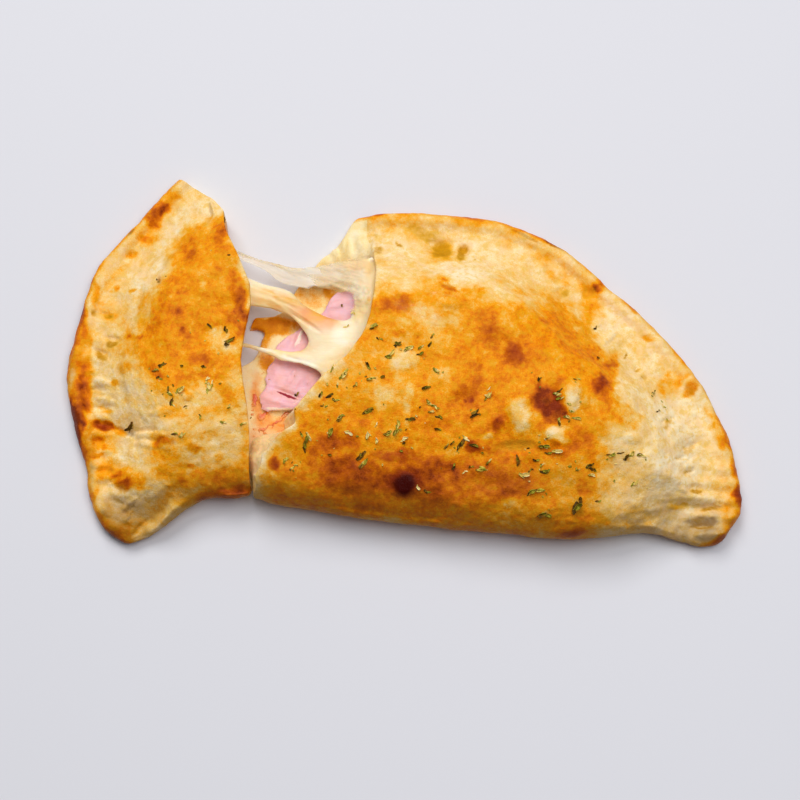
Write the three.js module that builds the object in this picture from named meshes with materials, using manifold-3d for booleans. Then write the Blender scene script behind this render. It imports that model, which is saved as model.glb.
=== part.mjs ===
// A baked calzone with one end slice pulled away on strings of melted cheese.
//
// Millimetres, +Z up. The calzone lies flat on z = 0, with its crimped rim towards +Y and its
// folded side towards -Y. The origin is at the middle of the bottom of its bounding box.

import * as THREE from 'three';
import { mergeVertices } from 'three/addons/utils/BufferGeometryUtils.js';
import Module from 'manifold-3d';

const wasm = await Module();
wasm.setup();

// Dough and filling
const doughWall = 4.5; // thickness of the top and bottom crust
const airGap = 0.3; // between pieces that touch
const hamThickness = 2.8;
const hamRipple = 0.5; // height of the ham's waves
const hamRippleLength = 17;
const fillingRecess = 0.8; // the filling stands back from a cut by this much
const smallestHollow = 2.5; // the pocket ends where it would be lower than this

// Crimped rim, measured inwards from its edge
const rimEdgeHeight = 4.2; // the widest line of the rim lies this high
const beadHeight = 9.6;
const beadCrest = 4.5;
const bandHeight = 7.6;
const bandStart = 9;
const crimpPitch = 8.6;
const crimpDepth = 1.7;
const crimpFade = 5;
const crimpSteps = 3; // points around the rim for each crimp

// Folded side
const foldEdgeHeight = 12;
const foldBlend = 22; // over this length the low rim turns into the high fold
const foldClimbStart = 4;
const foldStep = 9.5;
const closingStep = 8;
const ridgeBlend = 16; // rounds the ridge where the two sides of the dome meet

// Rings of a crust: first at these distances from its edge, then at these parts of what is left
const ringInsets = [0, 1.4, beadCrest, bandStart, 14, 20];
const ringFractions = [0.2, 0.42, 0.72];
const leastRise = 0.5; // of every ring over the edge
const leastSlant = 0.55; // keeps the insets short where the edge runs towards the pole

// Below its widest line the edge tucks in, by these parts of its height
const tuckInset = 0.14;
const tuckHeight = 0.34;
const footInset = 0.6;

const pocketFractions = [0.3, 0.58, 0.82, 0.95];
const pocketFloor = 0.97;
const pocketSides = 44;
const pocketStep = 1; // height of the pocket's lowest side, and the step of the search for it

// Each piece has a rim, a folded side and a closing side that the cut takes away. They join in
// the order of the loop, anticlockwise as seen from above. The pole is the middle of the rings.
const mainPiece = {
  loop: ['foldLine', 'rimLine', 'closingLine'],
  domeHeight: 39,
  bandEnd: 19,
  rimClimb: 30,
  foldShoulder: 25,
  foldRadius: 15,
  foldClimb: 58,
  pole: [34, -16],
  fold: [[-90, -64], [-60, -67.6], [-22, -72.8], [12, -77], [44, -80.8], [66, -83.8], [84, -84.2],
    [102, -81.6], [112, -81.4], [124, -84.2], [134, -86]],
  rim: [[134, -86], [141, -85], [147, -79.5], [152, -71], [152.4, -63], [149, -45], [145, -28.5],
    [137.5, -14], [127, 1.5], [112, 18.3], [95, 34.4], [77, 51], [64, 58.8], [52, 64],
    [40, 67.3], [26, 69], [8, 70.3], [-14, 70.3], [-34, 68], [-48, 62]],
  closing: [[-48, 62], [-72, 44], [-84, 24], [-92, -20], [-92, -50], [-90, -64]],
  inReach: (x) => x > -84,
  bumps: [
    { x: 48, y: -24, radius: 11, height: 1.6 }, // a blister beside a browned patch
    { x: 72, y: -20, radius: 9, height: 1.4 },
    { x: 60, y: -38, radius: 8, height: 1.2 },
    { x: 96, y: -60, radius: 14, height: -2.4 }, // the dough sinks towards the corner
    { x: 17, y: 54, radius: 6, height: -2.2 }, // deep finger marks in the back rim
    { x: 28, y: 52, radius: 3.5, height: -2 },
  ],
  wrinkles: { x: 138, y: -70, radius: 20, pitch: 7.5, height: 1.1 },
};

const slicePiece = {
  loop: ['foldLine', 'closingLine', 'rimLine'],
  domeHeight: 32,
  bandEnd: 21,
  rimClimb: 26,
  foldShoulder: 20,
  foldRadius: 14,
  foldClimb: 46,
  pole: [-84, -2],
  fold: [[-121, -85], [-114, -83.6], [-107, -79.4], [-99, -73], [-90, -67], [-79, -63.4],
    [-66, -62.4], [-54, -62]],
  rim: [[-92, 99], [-103.2, 87.5], [-110, 80.2], [-119, 70.6], [-131, 56], [-139.5, 44],
    [-144.5, 31], [-148.2, 15], [-152, 0.5], [-152.9, -7], [-151, -17], [-146.6, -36],
    [-141, -52.5], [-140.6, -60], [-137, -70], [-132.5, -78], [-126.5, -83.4], [-121, -85]],
  closing: [[-54, -62], [-44, -40], [-42, 0], [-48, 50], [-72, 88], [-92, 99]],
  inReach: (x, y) => x < -46 && y < 58,
  bumps: [
    { x: -116, y: -62, radius: 10, height: 1.8 },
    { x: -128, y: -33, radius: 7, height: -1.6 }, // a crease runs in from the rim
    { x: -114, y: -36, radius: 7, height: -1.4 },
    { x: -86, y: 10, radius: 10, height: -1.2 },
  ],
  wrinkles: { x: -126, y: -76, radius: 14, pitch: 8, height: 0.9 },
};

// The cut that freed the slice goes straight down
const sliceCut = [[-118, 120], [-103, 86.3], [-97, 81.6], [-88, 75.2], [-82.6, 67.5], [-79.4, 56],
  [-73, 42], [-68, 30], [-67.4, 20], [-69.8, 8], [-71.4, -5], [-70.3, -15], [-68.5, -25],
  [-67, -37], [-66, -52], [-67.3, -59], [-70, -74]];

// The large piece's top crust is cut on a slope: along topCutAbove at topCutHeight and along
// topCutBelow at the level of the bottom crust
const topCutHeight = 27;
const topCutAbove = [[-14, 120], [-14, 68], [-14.4, 59], [-11.6, 50], [-10.6, 41], [-12, 32],
  [-14, 19], [-16.6, 8.5], [-22.4, -1.3], [-29, -7.6], [-35, -12.6], [-42, -21.2], [-48.2, -29.2],
  [-52.6, -39], [-58, -47], [-61, -54], [-65, -75]];
const topCutBelow = [[-16, 120], [-16, 69], [-16, 59], [-13.4, 49], [-13, 41], [-14.6, 31],
  [-17, 17.6], [-20.4, 6.5], [-27, -3], [-33.4, -6.6], [-39.5, -10], [-47, -19], [-54.5, -28.6],
  [-64, -35], [-67.6, -43], [-68.4, -52], [-70.4, -75]];

// Its bottom crust reaches further, with a tongue that still touches the slice
const ledgeCut = [[-14, 120], [-20.6, 70.5], [-24.4, 65], [-28, 58], [-31, 54], [-36, 49],
  [-42, 42.5], [-48.6, 33.6], [-53, 24], [-58, 21.2], [-67, 20.8], [-68.4, 14.8], [-59.4, 14],
  [-62, 11], [-65.4, 5], [-68, -1], [-70.4, -7], [-69.8, -15], [-68, -25], [-66.5, -37],
  [-65.5, -52], [-66.8, -59], [-69.5, -74]];

const hamMainOutline = [[-66, -21.7], [-61, -25], [-50, -24.5], [-42, -33], [-20, -48], [24, -56],
  [66, -56], [92, -46], [96, -26], [78, 0], [48, 20], [14, 30], [-14, 33], [-30.5, 32.5],
  [-38, 22.5], [-48, 14.4], [-57.5, 6.4], [-61.5, -3], [-63.2, -12.4]];
const hamMainPole = [4, -8];
const hamSliceOutline = [[-71, 44], [-88, 50], [-104, 38], [-116, 18], [-119, -6], [-114, -28],
  [-100, -42], [-82, -46], [-60, -44], [-60, 0], [-58, 30]];
const hamSlicePole = [-86, 0];

// Melted cheese: each sheet is stretched between two edges, from the slice to the large piece
const cheeseSheets = {
  film: {
    thickness: 1.3, steps: 12, strips: 3,
    back: [[-82, 53.5, 12.4], [-76, 51, 12.2], [-64, 47, 10.8], [-53, 43.7, 10], [-42, 42.4, 9.6],
      [-28, 43, 9], [-10, 42.6, 8.6]],
    front: [[-82, 50.5, 12.2], [-76, 48.6, 12], [-64, 45.2, 10.6], [-53.5, 41, 9.8],
      [-46.5, 35.4, 9.4], [-34, 30, 10], [-24, 27, 11], [-8, 26, 12]],
  },
  strand: {
    thickness: 4.4, steps: 14, strips: 4,
    back: [[-76, 37, 15.4], [-70, 37, 15.6], [-60, 33, 14.8], [-51, 30.2, 14], [-45, 26, 13.6],
      [-39, 22.6, 13.6], [-27, 17.6, 15], [-6, 19, 18]],
    front: [[-76, 22, 14.4], [-68, 23.2, 14.6], [-58, 21.4, 14], [-51.6, 17.6, 13.4],
      [-46.4, 11.6, 13], [-42, 5, 13], [-33, -3, 14], [-18, -10, 16.4]],
  },
  web: {
    thickness: 3, steps: 14, strips: 4,
    back: [[-76, 6.6, 11.4], [-70, 6.6, 11.6], [-63, 5.2, 11.8], [-54.8, 3, 12], [-47, 4, 12.2],
      [-40, 6.4, 12.8], [-28, 7, 14.8], [-12, 6, 17.4]],
    front: [[-76, 4.4, 11.4], [-70, 4.6, 11.6], [-63, 3, 11.8], [-55, -1.8, 12], [-46, -4.8, 12.6],
      [-38, -9, 14], [-32, -13, 14.6], [-20, -22, 15.6]],
  },
};

// ---- curves and smooth steps ----

function splineThrough(points) {
  const knots = points.map(([x, y, z = 0]) => new THREE.Vector3(x, y, z));
  return new THREE.CatmullRomCurve3(knots, false, 'centripetal');
}

function samplesAlong(points, step) {
  const curve = splineThrough(points);
  const count = Math.round(curve.getLength() / step);
  return curve.getSpacedPoints(count);
}

function smoothStep(from, to, value) {
  return THREE.MathUtils.smoothstep(value, from, to);
}

function quarterRound(part) {
  const rest = 1 - Math.min(Math.max(part, 0), 1);
  return Math.sqrt(1 - rest * rest);
}

function softMinimum(a, b, blend) {
  const overlap = Math.max(blend - Math.abs(a - b), 0) / blend;
  return Math.min(a, b) - overlap * overlap * blend / 4;
}

// Distance from a point to a line of samples, and how far along the line the nearest place is
function nearest(samples, x, y) {
  let best = { distance: Infinity, along: 0 };
  let length = 0;
  for (let i = 1; i < samples.length; i++) {
    const a = samples[i - 1];
    const b = samples[i];
    const side = Math.hypot(b.x - a.x, b.y - a.y);
    const dot = (x - a.x) * (b.x - a.x) + (y - a.y) * (b.y - a.y);
    const part = Math.min(Math.max(dot / (side * side), 0), 1);
    const dx = x - a.x - part * (b.x - a.x);
    const dy = y - a.y - part * (b.y - a.y);
    const distance = Math.hypot(dx, dy);
    if (distance < best.distance) best = { distance, along: length + part * side };
    length += side;
  }
  return best;
}

// ---- the height of a crust ----

function prepare(piece) {
  const lines = {
    rimLine: samplesAlong(piece.rim, crimpPitch / crimpSteps),
    foldLine: samplesAlong(piece.fold, foldStep),
    closingLine: samplesAlong(piece.closing, closingStep),
  };
  const outline = piece.loop.flatMap((name) => lines[name].slice(0, -1));
  return { ...piece, ...lines, outline };
}

function crimps(piece, inset, along) {
  const inBand = smoothStep(bandStart - crimpFade / 2, bandStart + crimpFade / 2, inset)
    * (1 - smoothStep(piece.bandEnd - crimpFade, piece.bandEnd + crimpFade / 2, inset));
  const wave = 0.5 + 0.5 * Math.cos(2 * Math.PI * along / crimpPitch);
  return crimpDepth * inBand * wave;
}

function heightOverRim(piece, inset, along) {
  const bead = rimEdgeHeight + (beadHeight - rimEdgeHeight) * quarterRound(inset / beadCrest);
  const band = THREE.MathUtils.lerp(bead, bandHeight, smoothStep(beadCrest, bandStart, inset));
  const climb = smoothStep(piece.bandEnd, piece.bandEnd + piece.rimClimb, inset);
  return THREE.MathUtils.lerp(band, piece.domeHeight, climb) - crimps(piece, inset, along);
}

function heightOverFold(piece, inset) {
  const side = foldEdgeHeight
    + (piece.foldShoulder - foldEdgeHeight) * quarterRound(inset / piece.foldRadius);
  const climb = smoothStep(foldClimbStart, piece.foldClimb, inset);
  return side + (piece.domeHeight - piece.foldShoulder) * climb;
}

function bumpsAt(piece, x, y) {
  let total = 0;
  for (const bump of piece.bumps) {
    const reach = Math.hypot(x - bump.x, y - bump.y) / bump.radius;
    total += bump.height * Math.exp(-reach * reach);
  }
  const { wrinkles } = piece;
  const reach = Math.hypot(x - wrinkles.x, y - wrinkles.y) / wrinkles.radius;
  const wave = Math.sin(2 * Math.PI * y / wrinkles.pitch);
  return total + wrinkles.height * wave * Math.exp(-reach * reach);
}

function crustHeight(piece, x, y) {
  const rim = nearest(piece.rimLine, x, y);
  const fold = nearest(piece.foldLine, x, y);
  const overRim = heightOverRim(piece, rim.distance, rim.along);
  const overFold = heightOverFold(piece, fold.distance);
  return softMinimum(overRim, overFold, ridgeBlend) + bumpsAt(piece, x, y);
}

function edgeHeight(piece, x, y) {
  const part = smoothStep(0, foldBlend, nearest(piece.rimLine, x, y).distance);
  return THREE.MathUtils.lerp(rimEdgeHeight, foldEdgeHeight, part);
}

// ---- closed solids from rings ----

function toManifold(geometry) {
  geometry.deleteAttribute('normal');
  geometry.deleteAttribute('uv');
  const merged = mergeVertices(geometry);
  return new wasm.Manifold(new wasm.Mesh({
    numProp: 3,
    vertProperties: new Float32Array(merged.attributes.position.array),
    triVerts: new Uint32Array(merged.index.array),
  }));
}

// A ball's rows of points become the rings of a solid. place(side, row) gives each point, from
// the pole on top (row 0) to the pole below (the last row).
function ringSolid(sides, rows, place) {
  const ball = new THREE.SphereGeometry(1, sides, rows);
  const { position } = ball.attributes;
  for (let i = 0; i < position.count; i++) {
    const column = i % (sides + 1);
    const row = Math.floor(i / (sides + 1));
    const point = place(column % sides, row);
    position.setXYZ(i, point.x, point.y, point.z);
  }
  return toManifold(ball);
}

// Inward direction at each point of an outline, towards the pole, and the way that has to be
// gone along it to be one millimetre away from the edge
function inwardSteps(outline, pole) {
  return outline.map((point, i) => {
    const before = outline[(i + outline.length - 1) % outline.length];
    const after = outline[(i + 1) % outline.length];
    const edge = new THREE.Vector2(after.x - before.x, after.y - before.y).normalize();
    const inward = new THREE.Vector2(-edge.y, edge.x);
    const toPole = new THREE.Vector2(pole[0] - point.x, pole[1] - point.y);
    const length = toPole.length();
    const slant = Math.max(inward.dot(toPole.normalize()), leastSlant);
    return { toPole, length, stretch: 1 / slant };
  });
}

function crustMound(piece) {
  const steps = inwardSteps(piece.outline, piece.pole);
  const lastInset = ringInsets[ringInsets.length - 1];
  const topRows = 1 + ringFractions.length + ringInsets.length;
  const rows = topRows + 2;

  const along = (side, way) => {
    const start = piece.outline[side];
    const { toPole } = steps[side];
    return new THREE.Vector3(start.x + toPole.x * way, start.y + toPole.y * way, 0);
  };

  return ringSolid(piece.outline.length, rows, (side, row) => {
    const { length, stretch } = steps[side];
    const [poleX, poleY] = piece.pole;
    if (row === 0) return new THREE.Vector3(poleX, poleY, crustHeight(piece, poleX, poleY));
    if (row === rows) return new THREE.Vector3(poleX, poleY, 0);

    const edge = edgeHeight(piece, piece.outline[side].x, piece.outline[side].y);
    if (row === topRows) return along(side, tuckInset * edge * stretch).setZ(tuckHeight * edge);
    if (row === topRows + 1) return along(side, footInset * edge * stretch);

    const fromEdge = topRows - 1 - row;
    if (fromEdge === 0) return along(side, 0).setZ(edge);
    const bandWay = lastInset * stretch;
    const way = fromEdge < ringInsets.length
      ? ringInsets[fromEdge] * stretch
      : bandWay + (length - bandWay) * ringFractions[fromEdge - ringInsets.length];
    const point = along(side, way);
    return point.setZ(Math.max(crustHeight(piece, point.x, point.y), edge + leastRise));
  });
}

// The pocket between the crusts. inset shrinks it on all sides, which gives the filling.
function pocketSolid(piece, inset) {
  const [poleX, poleY] = piece.pole;
  const innerHeight = (x, y) => crustHeight(piece, x, y) - 2 * doughWall;
  const hollow = (x, y) => innerHeight(x, y) > smallestHollow
    && nearest(piece.foldLine, x, y).distance > doughWall + pocketStep
    && piece.inReach(x, y);

  const reaches = [];
  for (let side = 0; side < pocketSides; side++) {
    const angle = 2 * Math.PI * side / pocketSides;
    const [dx, dy] = [Math.cos(angle), Math.sin(angle)];
    let radius = 0;
    while (hollow(poleX + radius * dx, poleY + radius * dy)) radius += pocketStep;
    reaches.push(radius);
  }
  const smoothed = reaches.map((reach, side) => {
    const before = reaches[(side + pocketSides - 1) % pocketSides];
    const after = reaches[(side + 1) % pocketSides];
    return Math.min(reach, (before + 2 * reach + after) / 4);
  });

  // From the pole over the top rows to the side, the floor and the pole below
  const parts = [0, ...pocketFractions, 1, pocketFloor, 0];
  const sideRow = pocketFractions.length + 1;
  return ringSolid(pocketSides, parts.length - 1, (side, row) => {
    const angle = 2 * Math.PI * side / pocketSides;
    const shrink = row === sideRow || row === sideRow + 1 ? inset * 1.5 : 0;
    const radius = parts[row] * smoothed[side] - shrink;
    const x = poleX + radius * Math.cos(angle);
    const y = poleY + radius * Math.sin(angle);
    const floor = doughWall + inset;
    if (row > sideRow) return new THREE.Vector3(x, y, floor);
    if (row === sideRow) return new THREE.Vector3(x, y, floor + pocketStep - inset / 2);
    const height = Math.max(innerHeight(x, y), smallestHollow);
    return new THREE.Vector3(x, y, doughWall + height - inset);
  });
}

// A thin wavy slab from a smooth outline. Its edge lies at the middle level, margin further out.
const slabFractions = [0, 0.55, 0.9, 1, 0.9, 0.55, 0];

function slab(outlinePoints, pole, { bottom, middle, top, margin = 0 }) {
  const knots = outlinePoints.map(([x, y]) => new THREE.Vector3(x, y, 0));
  const outline = new THREE.CatmullRomCurve3(knots, true, 'centripetal');
  const sides = outlinePoints.length * 2;
  const points = outline.getPoints(sides).slice(0, -1);
  const levels = [top, top, top, middle, bottom, bottom, bottom];
  return ringSolid(sides, slabFractions.length - 1, (side, row) => {
    const dx = (points[side].x - pole[0]) * slabFractions[row];
    const dy = (points[side].y - pole[1]) * slabFractions[row];
    const phase = (pole[0] + dx - pole[1] - dy) / hamRippleLength;
    const ripple = hamRipple * (1 + Math.sin(2 * Math.PI * phase));
    const grown = slabFractions[row] === 1 ? 1 + margin / Math.hypot(dx, dy) : 1;
    return new THREE.Vector3(pole[0] + dx * grown, pole[1] + dy * grown, levels[row] + ripple);
  });
}

// ---- cuts ----

// A block that takes away everything on one side of a cut line. The line may lean: it goes
// through `below` at the bottom of the block and through `above` at its top.
function cutBlock(below, above, bottom, top, farX) {
  const steps = below.length - 1;
  const block = new THREE.BoxGeometry(1, 1, 1, 1, steps, 1);
  const { position } = block.attributes;
  for (let i = 0; i < position.count; i++) {
    const high = position.getZ(i) > 0;
    const atLine = (position.getX(i) > 0) === (farX < below[0][0]);
    const row = Math.round((0.5 - position.getY(i)) * steps);
    const [x, y] = high ? above[row] : below[row];
    position.setXYZ(i, atLine ? x : farX, y, high ? top : bottom);
  }
  return toManifold(block);
}

function lineAtHeight(below, above, height) {
  const part = (height - doughWall) / (topCutHeight - doughWall);
  return below.map(([x, y], i) => [
    THREE.MathUtils.lerp(x, above[i][0], part),
    THREE.MathUtils.lerp(y, above[i][1], part),
  ]);
}

function shifted(line, dx) {
  return line.map(([x, y]) => [x + dx, y]);
}

const farLeft = -200;
const farRight = 200;
const overTop = 60;
const underBottom = -20;

function slopedCutter(dx, bottom) {
  const below = shifted(lineAtHeight(topCutBelow, topCutAbove, bottom), dx);
  const above = shifted(lineAtHeight(topCutBelow, topCutAbove, overTop), dx);
  return cutBlock(below, above, bottom, overTop, farLeft);
}

function ledgeCutter(dx) {
  const line = shifted(ledgeCut, dx);
  return cutBlock(line, line, underBottom, overTop, farLeft);
}

function sliceCutter(dx) {
  const line = shifted(sliceCut, dx);
  return cutBlock(line, line, underBottom, overTop, farRight);
}

// ---- melted cheese ----

const sheetThinning = 0.65; // towards both edges

function cheeseSheet({ back, front, thickness, steps, strips }) {
  const backEdge = splineThrough(back);
  const frontEdge = splineThrough(front);
  const sheet = new THREE.BoxGeometry(1, 1, 1, steps, strips, 1);
  const { position } = sheet.attributes;
  for (let i = 0; i < position.count; i++) {
    const along = position.getX(i) + 0.5;
    const across = position.getY(i) + 0.5;
    const point = frontEdge.getPoint(along).lerp(backEdge.getPoint(along), across);
    const rounded = 1 - sheetThinning * (2 * across - 1) ** 2;
    point.z += position.getZ(i) * thickness * rounded;
    position.setXYZ(i, point.x, point.y, point.z);
  }
  return toManifold(sheet);
}

// ---- assembly ----

function toMesh(name, solid, colour, roughness) {
  const mesh = solid.getMesh();
  const geometry = new THREE.BufferGeometry();
  geometry.setAttribute('position', new THREE.Float32BufferAttribute(mesh.vertProperties, 3));
  geometry.setIndex(new THREE.Uint32BufferAttribute(mesh.triVerts, 1));
  geometry.computeVertexNormals();
  const material = new THREE.MeshStandardMaterial({ color: colour, roughness, metalness: 0 });
  const result = new THREE.Mesh(geometry, material);
  result.name = name;
  return result;
}

const main = prepare(mainPiece);
const slice = prepare(slicePiece);

const crustMain = crustMound(main)
  .subtract(pocketSolid(main, 0))
  .subtract(slopedCutter(0, doughWall))
  .subtract(ledgeCutter(0));
const crustSlice = crustMound(slice)
  .subtract(pocketSolid(slice, 0))
  .subtract(sliceCutter(0));

const hamBottom = doughWall + airGap;
const hamTop = hamBottom + hamThickness;
const hamLevels = { bottom: hamBottom, middle: (hamBottom + hamTop) / 2, top: hamTop };
const roomLevels = { bottom: underBottom, middle: hamTop, top: hamTop + airGap, margin: 1 };
const hamMain = slab(hamMainOutline, hamMainPole, hamLevels);
const hamSlice = slab(hamSliceOutline, hamSlicePole, hamLevels)
  .subtract(sliceCutter(-fillingRecess));
const roomForHam = slab(hamMainOutline, hamMainPole, roomLevels)
  .add(slab(hamSliceOutline, hamSlicePole, roomLevels));

const cheeseMain = pocketSolid(main, airGap)
  .subtract(slopedCutter(fillingRecess, underBottom))
  .subtract(ledgeCutter(fillingRecess));
const cheeseSlice = pocketSolid(slice, airGap).subtract(sliceCutter(-fillingRecess));
const cheese = Object.values(cheeseSheets)
  .map(cheeseSheet)
  .reduce((whole, sheet) => whole.add(sheet), cheeseMain.add(cheeseSlice))
  .subtract(roomForHam);

const calzone = new THREE.Group();
calzone.add(
  toMesh('crust_main', crustMain, 0xd98f3a, 0.55),
  toMesh('crust_slice', crustSlice, 0xd6953f, 0.55),
  toMesh('cheese', cheese, 0xf5dfae, 0.35),
  toMesh('ham_main', hamMain, 0xeeb6b4, 0.45),
  toMesh('ham_slice', hamSlice, 0xeeb6b4, 0.45),
);

export default calzone;
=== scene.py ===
from math import cos, pi, radians, sin
from random import Random

import bmesh
import bpy
import numpy as np
from mathutils import Matrix, Vector, noise
from mathutils.bvhtree import BVHTree


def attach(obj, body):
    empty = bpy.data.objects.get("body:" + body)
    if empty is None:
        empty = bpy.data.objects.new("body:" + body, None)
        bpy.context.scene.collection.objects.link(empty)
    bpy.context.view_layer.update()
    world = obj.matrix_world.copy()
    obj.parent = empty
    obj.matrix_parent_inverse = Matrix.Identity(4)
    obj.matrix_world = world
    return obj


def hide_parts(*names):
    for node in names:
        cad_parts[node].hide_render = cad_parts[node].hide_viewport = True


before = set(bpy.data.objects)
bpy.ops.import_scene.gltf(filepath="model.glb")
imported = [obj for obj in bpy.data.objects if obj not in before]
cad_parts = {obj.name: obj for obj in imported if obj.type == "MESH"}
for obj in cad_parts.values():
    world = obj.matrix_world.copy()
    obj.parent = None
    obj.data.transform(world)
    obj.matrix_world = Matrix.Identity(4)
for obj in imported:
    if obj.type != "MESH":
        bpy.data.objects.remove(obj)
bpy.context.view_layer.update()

# lengths are in mm and turns in degrees; the studio's lengths are in metres
mm = 0.001
scene = bpy.context.scene

shot = {"aim": (-0.75, -19.85, 10), "tiltFromAbove": 14, "distance": 900, "lens": 90,
        "sensor": 36, "pixels": 800}
tilt = radians(shot["tiltFromAbove"])
shot["away"], shot["up"] = (0, -sin(tilt), cos(tilt)), (0, cos(tilt), sin(tilt))

studio = {
    "sky": (0.9, 0.93, 1.0), "skyStrength": 0.16,
    "key": {"at": (-0.6, 1.6, 2.3), "size": 1.6, "watts": 50, "tint": (1.0, 0.99, 0.975)},
    "fill": {"at": (0.5, 0.1, 1.9), "size": 1.1, "watts": 17, "tint": (0.99, 0.99, 1.0)},
    "floor": (0.73, 0.73, 0.775), "floorReach": 3, "floorRoughness": 0.6,
}


def linked(name, data):
    made = bpy.data.objects.new(name, data)
    scene.collection.objects.link(made)
    return made


def makeCamera():
    data = bpy.data.cameras.new("camera")
    data.lens = shot["lens"]
    data.sensor_width = shot["sensor"]
    camera = linked("camera", data)
    camera.location = (Vector(shot["aim"]) + Vector(shot["away"]) * shot["distance"]) * mm
    camera.rotation_euler = (tilt, 0, 0)
    scene.camera = camera


def makeLamp(name, look):
    data = bpy.data.lights.new(name, "AREA")
    data.shape = "SQUARE"
    data.size = look["size"]
    data.energy = look["watts"]
    data.color = look["tint"]
    lamp = linked(name, data)
    lamp.location = look["at"]
    lamp.rotation_euler = (-Vector(look["at"])).to_track_quat("-Z", "Y").to_euler()


def viewRay(across, down):
    # from the camera through a place in its view, given in pixels
    away, up = Vector(shot["away"]), Vector(shot["up"])
    eye = Vector(shot["aim"]) + away * shot["distance"]
    reach = shot["sensor"] / shot["lens"] / shot["pixels"]
    half = shot["pixels"] / 2
    ray = -away + Vector((1, 0, 0)) * (across - half) * reach + up * (half - down) * reach
    return eye, ray.normalized()


def atHeight(across, down, height):
    # the place at a height that shows at a place in the view
    eye, ray = viewRay(across, down)
    return np.array(eye + ray * ((height - eye.z) / ray.z))


def viewSpot(points):
    # where points lie in the view, as pixels across and down
    away, up = np.array(shot["away"]), np.array(shot["up"])
    seen = points - (np.array(shot["aim"]) + away * shot["distance"])
    depth = -(seen @ away)
    scale = shot["lens"] / shot["sensor"] * shot["pixels"] / depth
    half = shot["pixels"] / 2
    return half + seen[:, 0] * scale, half - (seen @ up) * scale


def smoothStep(low, high, value):
    part = np.clip((value - low) / (high - low), 0, 1)
    return part * part * (3 - 2 * part)


def blend(a, b, part):
    return a + (b - a) * part


def quarterRound(part):
    rest = 1 - np.clip(part, 0, 1)
    return np.sqrt(1 - rest * rest)


def grain(points, size, seed, octaves=3):
    # soft noise from about -1 to 1, with lumps of the given size
    shift = Vector([part * seed for part in (17.3, 5.1, 9.7)])
    read, fading, spacing = noise.fractal, 1.0, 2.0
    return np.array([read(Vector(p) / size + shift, fading, spacing, octaves) for p in points])


def lumps(points, *parts):
    # a sum of noises, each as height, lump size and seed
    return sum(height * grain(points, size, seed) for height, size, seed in parts)


def alongGrain(points, direction, *parts):
    # a sum of noises drawn out along a direction, each as height, length, width and seed
    c, s = cos(radians(direction)), sin(radians(direction))
    x, y, z = points.T
    total = 0
    for height, length, width, seed in parts:
        turned = np.stack([(x * c + y * s) / length, (y * c - x * s) / width, z / width], axis=1)
        total = total + height * grain(turned, 1.0, seed)
    return total


def readVertices(mesh, name):
    values = np.empty(len(mesh.vertices) * 3)
    mesh.vertices.foreach_get(name, values)
    return values.reshape(-1, 3)


def readPoints(mesh):
    return readVertices(mesh, "co") / mm


def readNormals(mesh):
    return readVertices(mesh, "normal")


def writePoints(mesh, points):
    mesh.vertices.foreach_set("co", (points * mm).ravel())
    mesh.update()


def writeLayer(mesh, name, values):
    layer = mesh.attributes.new(name, "FLOAT", "POINT")
    layer.data.foreach_set("value", np.asarray(values, dtype=np.float32))


def setLayers(mesh, values):
    for name, value in values.items():
        writeLayer(mesh, name, np.full(len(mesh.vertices), value))


def relax(mesh, points, weight, rounds):
    edges = np.empty(len(mesh.edges) * 2, dtype=np.int64)
    mesh.edges.foreach_get("vertices", edges)
    a, b = edges.reshape(-1, 2).T
    count = np.bincount(edges, minlength=len(points))
    points = points.copy()
    for _ in range(rounds):
        middle = np.stack([
            np.bincount(a, points[b, i], len(points)) + np.bincount(b, points[a, i], len(points))
            for i in range(3)
        ], axis=1) / count[:, None]
        points += (middle - points) * weight[:, None]
    return points


def lineThrough(knots, perSpan=8):
    # a centripetal spline through the knots
    p = np.array(knots, dtype=float)
    p = np.vstack([2 * p[0] - p[1], p, 2 * p[-1] - p[-2]])
    line = []
    for i in range(1, len(p) - 2):
        quad = p[i - 1:i + 3]
        gaps = np.linalg.norm(np.diff(quad, axis=0), axis=1) ** 0.5
        t0, t1, t2, t3 = np.concatenate([[0], np.cumsum(gaps)])
        for t in np.linspace(t1, t2, perSpan, endpoint=False):
            a1 = ((t1 - t) * quad[0] + (t - t0) * quad[1]) / (t1 - t0)
            a2 = ((t2 - t) * quad[1] + (t - t1) * quad[2]) / (t2 - t1)
            a3 = ((t3 - t) * quad[2] + (t - t2) * quad[3]) / (t3 - t2)
            b1 = ((t2 - t) * a1 + (t - t0) * a2) / (t2 - t0)
            b2 = ((t3 - t) * a2 + (t - t1) * a3) / (t3 - t1)
            line.append(((t2 - t) * b1 + (t - t1) * b2) / (t2 - t1))
    line.append(p[-2])
    return np.array(line)


def reachFrom(points, x, y, radius):
    # how far points lie from a place in the plane, as a share of a radius
    return np.hypot(points[:, 0] - x, points[:, 1] - y) / radius


def nearestOn(line, points):
    # distance to a line in the plane, and how far along it the nearest place is
    best = np.full(len(points), np.inf)
    along = np.zeros(len(points))
    passed = 0
    for a, b in zip(line[:-1], line[1:]):
        side = np.hypot(*(b - a))
        toX, toY = points[:, 0] - a[0], points[:, 1] - a[1]
        part = np.clip((toX * (b - a)[0] + toY * (b - a)[1]) / side ** 2, 0, 1)
        gap = np.hypot(toX - part * (b - a)[0], toY - part * (b - a)[1])
        closer = gap < best
        best = np.where(closer, gap, best)
        along = np.where(closer, passed + part * side, along)
        passed += side
    return best, along


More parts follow.
